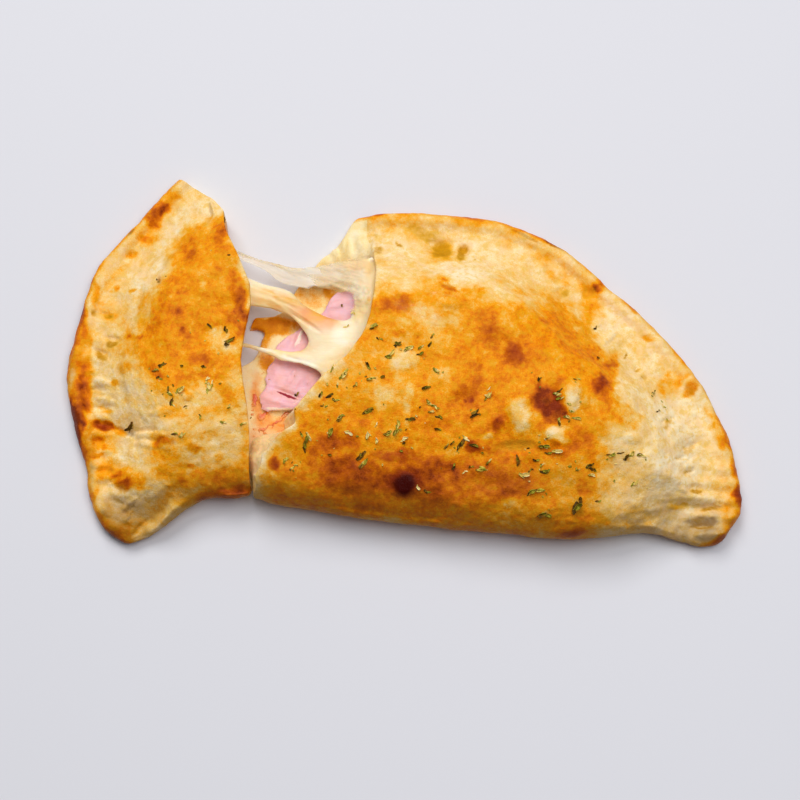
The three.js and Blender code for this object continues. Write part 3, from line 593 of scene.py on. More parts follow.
slicePiece = {
    "node": "crust_slice", "name": "bakedSlice", "kept": 0.5,
    "dome": 32, "bandEnd": 21, "rimClimb": 26,
    "foldShoulder": 20, "foldRadius": 14, "foldClimb": 46,
    "rimBrown": 0.16, "cutSkin": 1,
    "softened": [(-106, -74, 16), (-94, -70, 14), (-118, -80, 12)],
    "fold": [
        (-121, -85), (-114, -83.6), (-107, -79.4), (-99, -73), (-90, -67), (-79, -63.4),
        (-66, -62.4), (-54, -62),
    ],
    "rim": [
        (-92, 99), (-103.2, 87.5), (-110, 80.2), (-119, 70.6), (-131, 56), (-139.5, 44),
        (-144.5, 31), (-148.2, 15), (-152, 0.5), (-152.9, -7), (-151, -17), (-146.6, -36),
        (-141, -52.5), (-140.6, -60), (-137, -70), (-132.5, -78), (-126.5, -83.4), (-121, -85),
    ],
    "bumps": [
        (-116, -62, 10, 1.8), (-128, -33, 7, -1.6), (-114, -36, 7, -1.4), (-86, 10, 10, -1.2),
    ],
    "wrinkles": (-126, -76, 14, 8, 0.9),
    # the slice is cut straight down, so the top crust is everywhere
    "topCut": ((-400, -400), (-200, 200)),
    "cutShift": (-3.2, ((0, -80, -72), (0, -56, -64), (2, 26, 11), (1, -60, -50),
                        (1, 60, 40))),
    "nudges": [
        (-73, -64, 9, 0.6, -2.4), (-92, 84, 8, 1.4, 0.8), (-82, 70, 8, 1.4, 0.2),
        (-124, 68, 14, 0.9, -0.7), (-152, -8, 12, 0.7, 0), (-124, -84, 8, 0, -0.7),
    ],
    "crimpKeep": [(105, 330, 45, 130, 0, 0.5)],
    "relief": [
        (107, 317, 9, 3, -25, -1.2), (113, 342, 11, 3.5, -15, -1.4), (103, 356, 11, 3.5, -30, -1.4),
        (94, 313, 3, 3, 0, -0.9), (98, 391, 9, 3, -8, -1.2), (102, 410, 10, 3, -15, -1.3),
        (104, 426, 13, 4, -12, -2), (125, 434, 12, 3.5, -20, -1.8), (146, 432, 14, 3, 12, -1.2),
        (98, 442, 9, 3, -8, -1.2), (99, 458, 9, 3, -6, -1.2), (105, 472, 9, 3, -5, -1),
        (103, 384, 12, 3.5, -18, 1.1), (107, 403, 13, 3.5, -20, 1.2), (103, 418, 9, 3, -20, 0.8),
        (102, 435, 12, 3.5, -10, 1.3), (102, 450, 12, 3.5, -5, 1.2), (98, 466, 10, 3.5, -3, 1.1),
        (103, 480, 10, 4, 0, 1.2), (152, 437, 16, 4, 8, 1.4), (148, 447, 14, 4, -4, 1.2),
        (162, 411, 14, 4, 15, 1), (163, 268, 10, 18, -30, 0.8), (187, 396, 5, 5, 0, 1.3),
        (125, 480, 20, 9, -10, 1.4), (128, 500, 20, 5, -20, 1.2), (125, 516, 16, 6, -30, 1),
        (140, 528, 12, 3, 40, -1), (118, 509, 14, 2.5, -22, -1.3), (122, 519, 14, 3.5, -20, 1.1),
        (213, 333, 16, 9, 20, -0.9), (200, 205, 20, 10, -40, 0.7), (240, 290, 8, 18, 10, 1),
        (131, 255, 6, 4, 30, -0.7), (144, 263, 6, 3, 30, -0.8), (140, 235, 7, 3, 40, -0.6),
        (120, 282, 8, 3, 10, -0.7), (176, 290, 16, 10, 40, 0.7), (165, 445, 7, 6, 0, 0.7),
        (192, 447, 7, 6, 0, 0.6), (218, 457, 6, 5, 0, 0.5), (210, 420, 30, 14, 0, 0.6),
    ],
    "golden": [
        (222, 212), (228, 225), (236, 250), (243, 268), (251, 285), (253, 310), (248, 330),
        (243, 345), (246, 375), (250, 400), (254, 440), (254, 470), (240, 496), (205, 496),
        (180, 482), (160, 468), (150, 440), (170, 425), (150, 400), (148, 370), (135, 350),
        (128, 335), (140, 318), (152, 300), (155, 285), (168, 262), (182, 238), (195, 228),
        (208, 218),
    ],
    "browned": [
        (246, 312, 5, 12, 0, 0.3), (248, 352, 4, 10, 0, 0.24), (189, 246, 9, 12, -20, 0.13),
        (197, 260, 14, 9, -30, 0.1), (222, 238, 12, 14, 0, 0.12), (226, 229, 5, 5, 0, 0.14),
        (237, 290, 12, 20, 10, 0.15), (243, 300, 8, 10, 0, 0.12), (233, 312, 14, 5, 0, 0.16),
        (175, 311, 8, 7, 0, 0.12), (160, 320, 26, 12, 10, 0.1), (136, 334, 8, 4, 0, 0.22),
        (184, 333, 9, 6, -30, 0.15), (182, 291, 5, 4, 0, 0.14), (215, 272, 6, 5, 0, 0.12),
        (165, 345, 16, 14, 0, 0.08), (212, 362, 22, 7, -20, 0.08), (131, 293, 4, 3.5, 0, 0.36),
        (116, 291, 4, 4, 0, 0.28), (160, 210, 10, 9, 40, 0.36), (150, 220, 6, 7, 30, 0.26),
        (175, 197, 10, 6, 35, 0.22), (141, 237, 8, 5, -30, 0.22), (131, 254, 7, 5, 0, 0.22),
        (124, 270, 10, 4, 50, 0.16), (110, 285, 10, 4, 50, 0.12), (96, 295, 4, 16, -10, 0.16),
        (78, 370, 9, 26, 6, 0.16), (80, 415, 8, 30, -8, 0.14), (86, 325, 7, 18, 8, 0.16),
        (115, 382, 6, 6, 0, 0.3), (104, 428, 12, 5, -10, 0.5), (104, 410, 8, 4, 0, 0.22),
        (118, 432, 10, 5, -25, 0.3), (98, 441, 7, 3, 0, 0.22), (99, 458, 7, 3, 0, 0.22),
        (160, 443, 8, 6, 20, 0.3), (193, 447, 8, 5, 0, 0.18), (218, 457, 7, 5, 0, 0.2),
        (190, 468, 6, 3, 0, 0.22), (130, 475, 22, 10, -10, 0.26), (124, 485, 10, 6, 0, 0.42),
        (142, 486, 10, 4, 10, 0.18), (128, 530, 16, 9, 20, 0.12), (92, 495, 4, 12, -15, 0.2),
        (156, 371, 6, 7, 0, 0.16), (160, 378, 5, 4, 0, 0.2), (215, 478, 40, 8, 10, 0.06),
        (186, 394, 5, 4, -30, 0.2), (205, 375, 26, 5, -10, 0.1), (218, 336, 15, 11, 20, -0.26),
        (229, 350, 11, 7, -20, -0.2), (237, 316, 8, 18, 0, 0.12), (165, 268, 10, 14, 20, -0.12),
        (200, 395, 26, 10, 0, -0.2), (206, 383, 10, 9, 0, -0.2), (205, 282, 5, 6, 0, -0.18),
        (174, 296, 4, 4, 0, -0.2), (245, 262, 5, 10, 20, -0.14), (240, 420, 14, 30, 0, -0.1),
        (184, 270, 3, 3, 0, -0.12), (205, 440, 14, 5, 0, -0.08), (181, 330, 3, 3, 0, 0.1),
        # the oval at (215, 496) is partly painted shade where the slice meets the large piece
        (200, 430, 54, 40, 0, -0.16), (110, 330, 22, 60, 15, 0.08), (215, 496, 44, 8, 12, 0.34),
        (165, 512, 34, 12, 35, 0.12), (125, 534, 26, 14, 0, 0.12), (175, 490, 30, 12, 20, 0.12),
        (82, 350, 12, 62, 8, 0.26), (79, 420, 12, 66, -8, 0.36), (92, 350, 3, 60, 2, -0.1),
        (140, 240, 50, 9, 52, 0.1), (120, 524, 30, 22, -30, 0.06), (165, 507, 30, 14, 30, 0.1),
        (200, 300, 40, 34, 0, 0.05), (150, 470, 40, 20, 0, 0.06), (100, 300, 8, 30, 15, 0.1),
        (112, 340, 24, 40, 10, 0.05), (77, 425, 9, 34, 0, 0.22), (114, 484, 16, 24, -30, 0.06),
        (98, 450, 12, 40, -10, 0.08), (225, 440, 24, 44, 0, -0.07), (158, 224, 12, 30, -40, 0.2),
        (195, 482, 50, 8, 8, 0.08), (106, 450, 16, 32, -20, 0.1), (205, 440, 24, 12, 0, 0.12),
        (232, 330, 10, 20, 0, 0.16), (85, 456, 6, 28, -12, 0.1), (92, 446, 6, 20, -5, 0.16),
        (94, 426, 7, 10, 0, 0.14), (106, 475, 12, 9, 0, 0.22), (118, 478, 12, 9, 0, 0.14),
        (108, 478, 16, 10, 0, 0.14), (106, 441, 9, 14, 0, 0.12), (142, 262, 10, 30, -40, 0.07),
        (158, 212, 10, 20, -40, 0.08), (118, 524, 24, 22, -20, 0.1), (150, 506, 30, 12, 35, 0.1),
        (112, 295, 16, 24, -30, 0.06), (112, 318, 12, 5, -20, 0.12), (118, 350, 16, 6, -20, 0.12),
        (128, 368, 14, 5, 10, 0.14), (132, 402, 16, 6, 0, 0.12), (122, 418, 10, 4, 30, 0.14),
        (140, 300, 12, 8, 50, 0.12), (110, 452, 14, 4, -6, 0.14), (112, 466, 14, 4, -6, 0.12),
        (148, 457, 16, 6, 10, 0.1),
    ],
    "burnt": [
        (124, 487, 6, 4, -10, 0.35), (105, 430, 8, 3, -10, 0.35), (130, 232, 8, 2, 50, 0.5),
        # the ovals at (225, 492) and (247, 488) are painted shade where the slice meets the large
        # piece
        (158, 281, 2, 2.5, 0, 0.5), (245, 312, 4, 2, 0, 0.35), (225, 492, 20, 3, 10, 0.2),
        (247, 488, 5, 2.5, 40, 0.4),
    ],
    # painted shade at the slice's tip, lower left side and front edge
    "dusk": [
        (118, 520, 26, 34, -20, 0.6), (86, 462, 10, 40, -12, 0.4), (152, 506, 38, 12, 33, 0.42),
        (76, 420, 8, 36, -8, 0.3), (190, 492, 50, 10, 10, 0.15),
    ],
    "rust": [
        (105, 429, 9, 4, -10, 0.5), (124, 487, 8, 5, -10, 0.4), (166, 441, 9, 6, -10, 0.4),
        # the ovals at (222, 490) and (245, 484) are painted shade where the slice meets the large
        # piece
        (158, 281, 3, 4, 0, 0.3), (222, 490, 18, 4, 10, 0.4), (245, 484, 6, 4, 30, 0.4),
        (72, 372, 6, 26, 0, 0.25), (195, 445, 7, 5, 0, 0.2),
    ],
    # painted shade in dents and crimp grooves, an olive-gold tint
    "olive": [
        (107, 317, 7, 3, -25, 0.8), (113, 342, 9, 4, -15, 1), (103, 356, 9, 4, -30, 0.9),
        (94, 313, 3, 3, 0, 0.7), (144, 263, 6, 3, 30, 0.4), (100, 391, 9, 3, -8, 0.5),
        (168, 262, 7, 9, 0, 0.3), (196, 212, 3, 4, 0, 0.4), (202, 226, 2.5, 2.5, 0, 0.4),
        (172, 222, 3, 4, 0, 0.3), (140, 317, 10, 4, 10, 0.4), (107, 472, 9, 3, 0, 0.3),
        (180, 505, 30, 8, 20, 0.25), (117, 395, 10, 20, 0, 0.2),
    ],
    "oil": [(196, 203, 6, 5, 0, 0.8)],
    "sauced": [],
}


def crustForm(piece, points):
    # the smooth height of a crust over each point, with its distance from the rim and fold
    rim, along = nearestOn(piece["rimLine"], points)
    fold, _ = nearestOn(piece["foldLine"], points)
    bead = dough["rimEdge"] + (dough["bead"] - dough["rimEdge"]) * quarterRound(
        rim / dough["beadCrest"])
    band = blend(bead, dough["band"], smoothStep(dough["beadCrest"], dough["bandStart"], rim))
    overRim = blend(band, piece["dome"],
                    smoothStep(piece["bandEnd"], piece["bandEnd"] + piece["rimClimb"], rim))
    half = dough["crimpFade"] / 2
    inBand = smoothStep(dough["bandStart"] - half, dough["bandStart"] + half, rim) * (
        1 - smoothStep(piece["bandEnd"] - 2 * half, piece["bandEnd"] + half, rim))
    wave = 0.5 + 0.5 * np.cos(2 * pi * along / dough["crimpPitch"])
    overRim = overRim - dough["crimpDepth"] * inBand * wave
    overFold = dough["foldEdge"] + (piece["foldShoulder"] - dough["foldEdge"]) * quarterRound(
        fold / piece["foldRadius"])
    overFold += (piece["dome"] - piece["foldShoulder"]) * smoothStep(
        dough["foldClimbStart"], piece["foldClimb"], fold)
    overlap = np.maximum(dough["ridge"] - np.abs(overRim - overFold), 0) / dough["ridge"]
    height = np.minimum(overRim, overFold) - overlap ** 2 * dough["ridge"] / 4
    for x, y, radius, rise in piece["bumps"]:
        height = height + rise * np.exp(-reachFrom(points, x, y, radius) ** 2)
    x, y, radius, pitch, rise = piece["wrinkles"]
    height = height + rise * np.sin(2 * pi * points[:, 1] / pitch) * np.exp(
        -reachFrom(points, x, y, radius) ** 2)
    return {"height": height, "rim": rim, "fold": fold, "outer": np.minimum(rim, fold),
            "inBand": inBand, "wave": wave}


def covered(piece, points):
    # 1 where the top crust is, 0 on the bottom crust that reaches out past its cut
    xs, ys = piece["topCut"]
    blur = dough["cutBlur"]
    return smoothStep(-blur, blur, points[:, 0] - np.interp(points[:, 1], ys, xs))


def topPart(piece, points, normals, height, reach, lean):
    # 1 on the skin of the top crust
    off = np.abs(points[:, 2] - height) * normals[:, 2]
    return smoothStep(*reach, off) * smoothStep(*lean, normals[:, 2]) * covered(piece, points)


def makeCrust(piece):
    piece["rimLine"] = lineThrough(piece["rim"])
    piece["foldLine"] = lineThrough(piece["fold"])
    crust = mergedCopy(piece["node"], piece["name"])
    remesh(crust, dough["voxel"])
    mesh = crust.data
    points = readPoints(mesh)
    form = crustForm(piece, points)
    onTop = topPart(piece, points, readNormals(mesh), form["height"], dough["topReach"],
                    dough["topLean"])
    points[:, 2] = blend(points[:, 2], form["height"], onTop)
    low = points[:, 2] < dough["flatBelow"]
    weight, rounds = dough["evened"]
    points = relax(mesh, points, np.where(low, 0.0, weight), rounds)
    near = np.zeros(len(points))
    for place in piece["softened"]:
        near = np.maximum(near, smoothStep(*dough["softFade"], reachFrom(points, *place)))
    weight, rounds = dough["softened"]
    points = relax(mesh, points, np.where(low, 0.0, weight * near), rounds)
    writePoints(mesh, points)
    hidden = points[:, 2] < form["height"] - dough["hiddenDepth"]
    hidden &= (form["outer"] > dough["hiddenReach"]) & (covered(piece, points) > 0.5)
    thinOut(crust, hidden | low, piece["kept"])
    return crust


def shiftCut(piece, points):
    # the ledge reaches in under the slice, whose cut leans back to leave it room
    step, limits = piece["cutShift"]
    for axis, low, high in limits:
        step = step * smoothStep(low, high, points[:, axis])
    points[:, 0] += step


def sculptCrust(piece, mesh):
    points = readPoints(mesh)
    normals = readNormals(mesh)
    form = crustForm(piece, points)
    spot = viewSpot(points)
    warp = warpOf(points, *dough["warp"])
    shiftCut(piece, points)
    for *place, stepX, stepY in piece["nudges"]:
        near = np.exp(-reachFrom(points, *place) ** 2)
        points[:, 0] += stepX * near
        points[:, 1] += stepY * near
    keep = np.clip(patches(piece["crimpKeep"], spot), 0, 1)
    crimps = dough["crimpDepth"] * form["inBand"] * form["wave"]
    gentle = crustForm({**piece, "bandEnd": dough["bandStart"],
                        "rimClimb": piece["rimClimb"] + dough["climbStretch"]}, points)["height"]
    rise = np.clip(gentle - form["height"] - crimps, *dough["climbLimits"]) + crimps * (1 - keep)
    rise += dough["bandFill"] * form["inBand"]
    rise += dough["reliefDepth"] * patches(piece["relief"], spot, warp, dough["reliefWarp"])
    bubbles = dough["pimples"]
    raised = np.maximum(grain(points, bubbles["size"], bubbles["seed"]) - bubbles["level"], 0)
    rise += lumps(points, *dough["lumps"]) + bubbles["height"] * raised
    part = smoothStep(form["height"] - dough["wall"], form["height"] - dough["skin"], points[:, 2])
    points[:, 2] += rise * part * smoothStep(*dough["edgeFade"], form["outer"])
    side = smoothStep(*dough["side"], form["outer"])
    side *= smoothStep(*dough["sideAbove"], points[:, 2])
    points += normals * (lumps(points, *dough["sideLumps"]) * side)[:, None]
    points[:, 2] = np.maximum(points[:, 2], 0)
    writePoints(mesh, points)
    return form, rise


# Noises are (strength, lump size, seed) and pairs the limits of soft steps. The layers painted in
# ovals have their share of the warp, gain, mottling, its seed, and if they cover sides as well.
crustPaint = {
    "fineWarp": (4, 6, 11, 4), "broadWarp": (5, 18, 11), "goldWarp": 2, "goldEdge": (-16, 12),
    "base": 0.15, "browning": 0.36, "domeBase": 0.03, "dome": (18, 34),
    "topReach": (2.6, 1.6), "topLean": (0.0, 0.25), "edgeSkin": (4.0, 2.6),
    "bottomSkin": (1.0, 0.5), "cutSkin": (4, 2),
    "spots": (0.25, 3, 16), "mottled": ((0.1, 17, 13), (0.13, 5.5, 14)), "speckled": (0.1, 1.8, 17),
    "underside": 0.62, "undersideMottled": (0.15, 12, 15),
    "underAbove": (5, 0.5), "underLean": (0.1, -0.5),
    "edgeBrown": 0.2, "edge": (3.4, 0.8), "rim": (8, 1), "rimMottled": (0.8, 8, 18),
    "foldBrown": 0.05, "fold": (5, 1), "foldBelow": (14, 4),
    # painted shade: the skin is darkened where it faces the front, near the fold and in listed
    # ovals, but not on faces turned down
    "paintedShadeOnSide": 0.65, "paintedShadeLean": (-0.12, -0.8), "paintedShadeSide": (24, 8),
    "paintedShadeOnFold": 0.4, "paintedShadeFold": (36, 2), "paintedShadeFaces": (-0.95, -0.5),
    "shown": (-0.3, 0.1), "mottleSize": 3,
    "layers": {
        "rust": (0.6, 1, 0.5, 21, False), "burnt": (0.4, 1, 0, 0, False),
        "olive": (0.8, 1.2, 0, 0, False), "sauced": (0.5, 1, 0.3, 19, True),
        "oil": (0.5, 1, 0, 0, False),
    },
}


def fade(name, value):
    # a soft step between two limits of the painting
    return smoothStep(*crustPaint[name], value)


def paintCrust(piece, mesh, form, rise):
    paint = crustPaint
    points = readPoints(mesh)
    normals = readNormals(mesh)
    spot = viewSpot(points)
    warp = tuple(fine + broad for fine, broad in zip(
        warpOf(points, *paint["fineWarp"]), warpOf(points, *paint["broadWarp"])))
    height = form["height"] + rise
    level = points[:, 2]
    skin = np.maximum(
        topPart(piece, points, normals, height, paint["topReach"], paint["topLean"]),
        fade("edgeSkin", form["outer"]))
    skin = np.maximum(skin, fade("bottomSkin", level))
    low, high = (height - depth for depth in paint["cutSkin"])
    skin = np.maximum(skin, piece["cutSkin"] * smoothStep(low, high, level))
    writeLayer(mesh, "inside", 1 - skin)
    across, down = (place + paint["goldWarp"] * shift for place, shift in zip(spot, warp))
    inGold = fade("goldEdge", insideOf(piece["golden"], across, down))
    bake = paint["base"] + paint["browning"] * inGold
    bake += paint["domeBase"] * fade("dome", form["outer"])
    # browning from the listed ovals, some of which are painted shade
    bake += patches(piece["browned"], spot, warp) * (1 + lumps(points, paint["spots"]))
    bake += lumps(points, *paint["mottled"])
    bake += lumps(points, paint["speckled"]) * (0.5 + 0.5 * inGold)
    under = fade("underAbove", level) * fade("underLean", normals[:, 2])
    bake = blend(bake, paint["underside"] + lumps(points, paint["undersideMottled"]), under)
    bake += paint["edgeBrown"] * fade("edge", form["rim"])
    bake += piece["rimBrown"] * fade("rim", form["rim"]) * (
        1 + lumps(points, paint["rimMottled"]))
    bake += paint["foldBrown"] * fade("fold", form["fold"]) * fade("foldBelow", level)
    writeLayer(mesh, "bake", np.clip(bake, 0, 1))
    # painted shade on faces turned to the front, near the fold, and in the listed ovals
    dusk = paint["paintedShadeOnSide"] * fade("paintedShadeLean", normals[:, 1]) * fade("paintedShadeSide", form["fold"])
    dusk += paint["paintedShadeOnFold"] * fade("paintedShadeFold", form["fold"])
    dusk += patches(piece["dusk"], spot, warp)
    dusk *= fade("paintedShadeFaces", normals[:, 2])
    writeLayer(mesh, "dusk", np.clip(dusk, 0, 1))
    shown = fade("shown", normals[:, 2])
    for name, (share, gain, mottling, seed, onSides) in paint["layers"].items():
        amount = gain * patches(piece[name], spot, warp, share)
        if not onSides:
            amount = amount * shown
        if mottling:
            amount = amount * (1 + mottling * grain(points, paint["mottleSize"], seed))
        writeLayer(mesh, name, np.clip(amount, 0, 1))


doughFinish = {
    "skin": [
        (0, tint(255, 235, 194)), (0.16, tint(254, 222, 160)), (0.34, tint(248, 193, 92)),
        (0.5, tint(250, 163, 14)), (0.64, tint(236, 131, 3)), (0.78, tint(207, 103, 5)),
        (0.9, tint(174, 76, 8)), (1, tint(126, 44, 8)),
    ],
    "crumb": [
        (0, tint(254, 238, 196)), (0.3, tint(252, 222, 150)), (0.6, tint(240, 158, 26)),
        (1, tint(196, 92, 0)),
    ],
    # the dark brown tint of the painted shade is on the next line, beside the burnt and rust tints,
    # which also paint shade where the pieces meet
    "burnt": tint(62, 6, 2), "dusk": tint(98, 54, 18), "rust": tint(160, 52, 6),
    # the olive and honey tints colour the painted shade in dents and crimp grooves
    "olive": tint(190, 128, 2), "honey": tint(230, 176, 40), "peach": tint(250, 204, 140),
    "straw": tint(240, 194, 82), "goldLeaf": tint(231, 166, 16), "sauce": tint(244, 158, 70),
    "pulp": tint(232, 112, 34),
}


def makeDoughFinish(look):
    finish = Finish("bakedDough")
    bake, sauced = finish.layer("bake"), finish.layer("sauced")
    fine = finish.noise(1.6, 5, 0.65) - 0.5
    specks = finish.noise(0.55, 2, 0.5) - 0.5
    broad, small = finish.noise(6, 3, 0.6), finish.noise(2.7, 3, 0.6)
    level = bake + (fine * 0.36 + specks * 0.36) * (1.0 - bake.step(0.5, 0.85) * 0.55)
    pale = 1.0 - bake.step(0.2, 0.5)
    gold = bake.step(0.34, 0.5) * (1.0 - bake.step(0.62, 0.78))
    # painted shade in dents and crimp grooves, laid on below in honey and olive tints
    olive = finish.layer("olive") * (small + 0.45)
    rust = (finish.layer("rust") + fine * 0.5 * finish.layer("rust")).clamped()
    skin = finish.coated(finish.ramp(level, look["skin"]), look, [
        ("peach", pale * broad.step(0.44, 0.64) * 0.55),
        ("straw", pale * small.step(0.47, 0.66) * 0.6),
        ("goldLeaf", gold * small.step(0.45, 0.64) * 0.48),
        ("honey", olive.clamped() * 0.85), ("olive", olive.step(0.35, 1.15) * 0.85),
        # rust and burnt marks, which also paint shade where the pieces meet, then the painted shade
        # laid over the skin
        ("rust", rust), ("dusk", finish.layer("dusk") * 0.58),
        ("burnt", (finish.layer("burnt") + fine * 0.2).step(0.1, 0.95)),
    ])
    inside = (finish.layer("inside") + fine * 0.5).step(0.35, 0.65)
    colour = finish.mix(inside, skin, finish.ramp(level, look["crumb"]))
    colour = finish.coated(colour, look, [
        ("sauce", (sauced * (0.6 + small)).clamped()),
        ("pulp", (sauced * (finish.noise(1.8, 3) * 6 - 3.3)).clamped()),
    ])
    oiled = bake.step(0.25, 0.55)
    pores = finish.noise(0.8, 4, 0.6)
    leather = finish.cells(1.9)
    height = pores * 0.6 + leather * 0.2 + finish.noise(3.2, 3, 0.5) * 0.45
    return finish.surface({
        "Base Color": colour, "Roughness": 0.6 - oiled * 0.22 + (pores - 0.5) * 0.5,
        "Normal": finish.bump(height, 0.45), "Specular IOR Level": 0.06,
        "Subsurface Weight": 0.04, "Subsurface Radius": (0.003, 0.0015, 0.0006),
        "Coat Weight": finish.layer("oil"), "Coat Roughness": 0.2,
    })


def sheetBetween(work, sheet, rows):
    # a grid between two edges, with how far each of its points is from its border
    back, front = (lineThrough([atHeight(*knot) for knot in sheet[edge]])
                   for edge in ("back", "front"))
    last = len(back) - 1
    verts = bmesh.ops.create_grid(work, x_segments=last, y_segments=rows, size=0.5)["verts"]
    inward = []
    for vert in verts:
        along, part = vert.co.x + 0.5, vert.co.y + 0.5
        i = round(along * last)
        vert.co = back[i] + (front[i] - back[i]) * part
        inward.append(min(part, 1 - part, along * 1.6, (1 - along) * 1.6))
    return verts, np.array([vert.co for vert in verts]), np.array(inward)


# a sheet's edges are knots as across and down in the view, and height
meltedCheese = {
    "node": "cheese", "name": "meltedCheese", "voxel": 0.6, "kept": 0.42, "grain": -22,
    "sheet": {
        "thickness": 1.7, "rows": 26, "waves": (0.5, 9, 51),
        "back": [
            (308, 268, 10), (322, 266, 10.2), (338, 262, 10.4), (352, 259, 10.6), (366, 258, 10.4),
            (380, 258, 9),
        ],
        "front": [
            (308, 281, 10), (323, 285, 10.2), (340, 294, 10.8), (352, 328, 14.4), (364, 340, 18),
            (376, 336, 20),
        ],
    },
    # the gap between the cuts as soft steps along x, and its smoothing
    "gap": ((-84, -78), (2, -6)), "evened": (0.5, 6),
    "merge": {"place": (-32, 11, 1), "reach": (26, 16), "weight": 0.7, "rounds": 130},
    # the film is what lies behind a line of x and y
    "filmFade": (-1, 1),
    "filmLine": ((-82, -53, -46, -34, -8), (46.5, 38, 31, 24.5, 20)),
    "strings": ((0.4, 34, 3.6, 21), (0.14, 22, 1.5, 22)), "filmSmooth": 0.6,
    "stringEnd": (-30, -56), "stringLean": 0.3, "facing": (0.1, 0.5),
    "warp": (3, 5, 24), "thinEnds": ((-14, -24), (-80, -74)), "thinBase": 0.75,
    "thinStrings": (0.5, 14, 1.6, 26), "sheerWarp": 0.5,
    "relief": [
        (285, 300, 30, 3, -22, 0.5), (276, 292, 26, 2.5, -20, -0.5), (300, 318, 26, 2.5, -35, -0.5),
        (290, 310, 30, 2.5, -30, 0.4), (352, 290, 4, 3.5, 0, 0.6), (361, 298, 4, 4, 0, 0.7),
        (357, 286, 3, 3, 0, 0.5), (366, 291, 3.5, 3.5, 0, 0.6), (363, 310, 4, 3.5, 0, 0.5),
        (351, 302, 3, 3, 0, 0.5), (368, 302, 3, 3, 0, 0.6), (346, 284, 4, 2.5, 0, 0.5),
        (358, 318, 4, 5, 0, 0.4), (376, 254, 10, 4, 45, 0.9), (340, 352, 18, 5, 20, 0.5),
        (302, 364, 16, 3, -15, 0.7), (330, 268, 40, 2.5, -6, 0.3), (325, 278, 34, 2.5, -10, 0.3),
        (366, 270, 4, 4, 0, 0.4),
    ],
    "golden": [
        (284, 297, 20, 5, -24, 0.9), (262, 288, 10, 4, -30, 0.5), (270, 303, 18, 4, -15, 0.5),
        (305, 300, 10, 3, -40, 0.5), (316, 317, 10, 8, 0, 0.8), (352, 340, 16, 10, 30, 0.25),
        (367, 300, 3, 3, 0, 0.7), (360, 283, 4, 4, 0, 0.6), (347, 283, 5, 3, 0, 0.3),
    ],
    "peach": [
        (318, 318, 20, 14, -30, 0.9), (332, 322, 18, 12, -20, 0.4), (345, 306, 10, 14, 0, 0.3),
        (300, 312, 14, 8, -40, 0.5), (305, 345, 16, 10, 0, 0.4), (283, 312, 14, 5, -30, 0.25),
        (352, 270, 24, 10, 20, 0.2), (330, 274, 24, 8, 0, 0.25),
    ],
    # where it is thin enough to see through, more than in the film
    "sheer": [(348, 304, 7, 14, 0, 1), (338, 292, 10, 4, -20, 0.5), (300, 280, 16, 8, 0, 0.4)],
    # whiter cheese, with painted highlights at (376, 256) by the crust's cut and along the lower
    # strand at (300, 363)
    "white": [
        (262, 279, 16, 4, -25, 0.7), (290, 287, 16, 4, -30, 0.8), (300, 363, 26, 6, -15, 1),
        (262, 350, 16, 3, -12, 0.9), (376, 256, 9, 6, 45, 1), (356, 292, 14, 9, 0, 0.6),
        (255, 282, 14, 6, -28, 0.6), (275, 288, 16, 6, -28, 0.5), (320, 336, 30, 14, 0, 0.5),
        (345, 315, 8, 10, 0, 0.8), (320, 272, 30, 8, 0, 0.5), (350, 278, 20, 10, 0, 0.5),
        (350, 335, 22, 14, 30, 0.6), (318, 356, 22, 10, 10, 0.6),
    ],
    "colour": tint(250, 219, 166), "gold": tint(242, 176, 56), "peachTint": tint(238, 150, 74),
    # the white tint serves both whiter cheese and the painted highlights
    "whiteAndHighlightTint": tint(254, 243, 218), "yellow": tint(247, 216, 142),
}


def gapPart(look, points):
    return np.prod([smoothStep(*limits, points[:, 0]) for limits in look["gap"]], axis=0)


def filmSide(look, points):
    behind = points[:, 1] - np.interp(points[:, 0], *look["filmLine"])
    return smoothStep(*look["filmFade"], behind)


def makeCheese(look):
    cheese = mergedCopy(look["node"], look["name"])
    sheet = look["sheet"]
    work = bmesh.new()
    verts, points, _ = sheetBetween(work, sheet, sheet["rows"])
    for vert, lift in zip(verts, lumps(points, sheet["waves"])):
        vert.co.z += lift
    thicken(work, sheet["thickness"])
    work.from_mesh(cheese.data)
    work.to_mesh(cheese.data)
    work.free()
    remesh(cheese, look["voxel"])
    mesh = cheese.data
    points = readPoints(mesh)
    inGap = gapPart(look, points)
    weight, rounds = look["evened"]
    points = relax(mesh, points, weight * inGap, rounds)
    merge = look["merge"]
    near = smoothStep(*merge["reach"], reachFrom(points, *merge["place"]))
    points = relax(mesh, points, merge["weight"] * inGap * near, merge["rounds"])
    shiftCut(slicePiece, points)
    writePoints(mesh, points)
    normals = readNormals(mesh)
    stringy = 1 - look["filmSmooth"] * (inGap * filmSide(look, points))
    push = alongGrain(points, look["grain"], *look["strings"]) * inGap * stringy * smoothStep(
        *look["stringEnd"], points[:, 0] + look["stringLean"] * points[:, 1])
    push += patches(look["relief"], viewSpot(points)) * inGap * smoothStep(
        *look["facing"], normals[:, 2])
    writePoints(mesh, points + normals * push[:, None])
    thinOut(cheese, inGap < 0.02, look["kept"])
    mesh = cheese.data
    points = readPoints(mesh)
    spot, warp = viewSpot(points), warpOf(points, *look["warp"])
    thin = gapPart(look, points) * filmSide(look, points)
    for limits in look["thinEnds"]:
        thin = thin * smoothStep(*limits, points[:, 0])
    thin *= look["thinBase"] + alongGrain(points, look["grain"], look["thinStrings"])
    writeLayer(mesh, "thin", thin + patches(look["sheer"], spot, warp, look["sheerWarp"]))
    for name in ("golden", "peach", "white"):
        writeLayer(mesh, name, np.clip(patches(look[name], spot, warp), 0, 1))
    return cheese


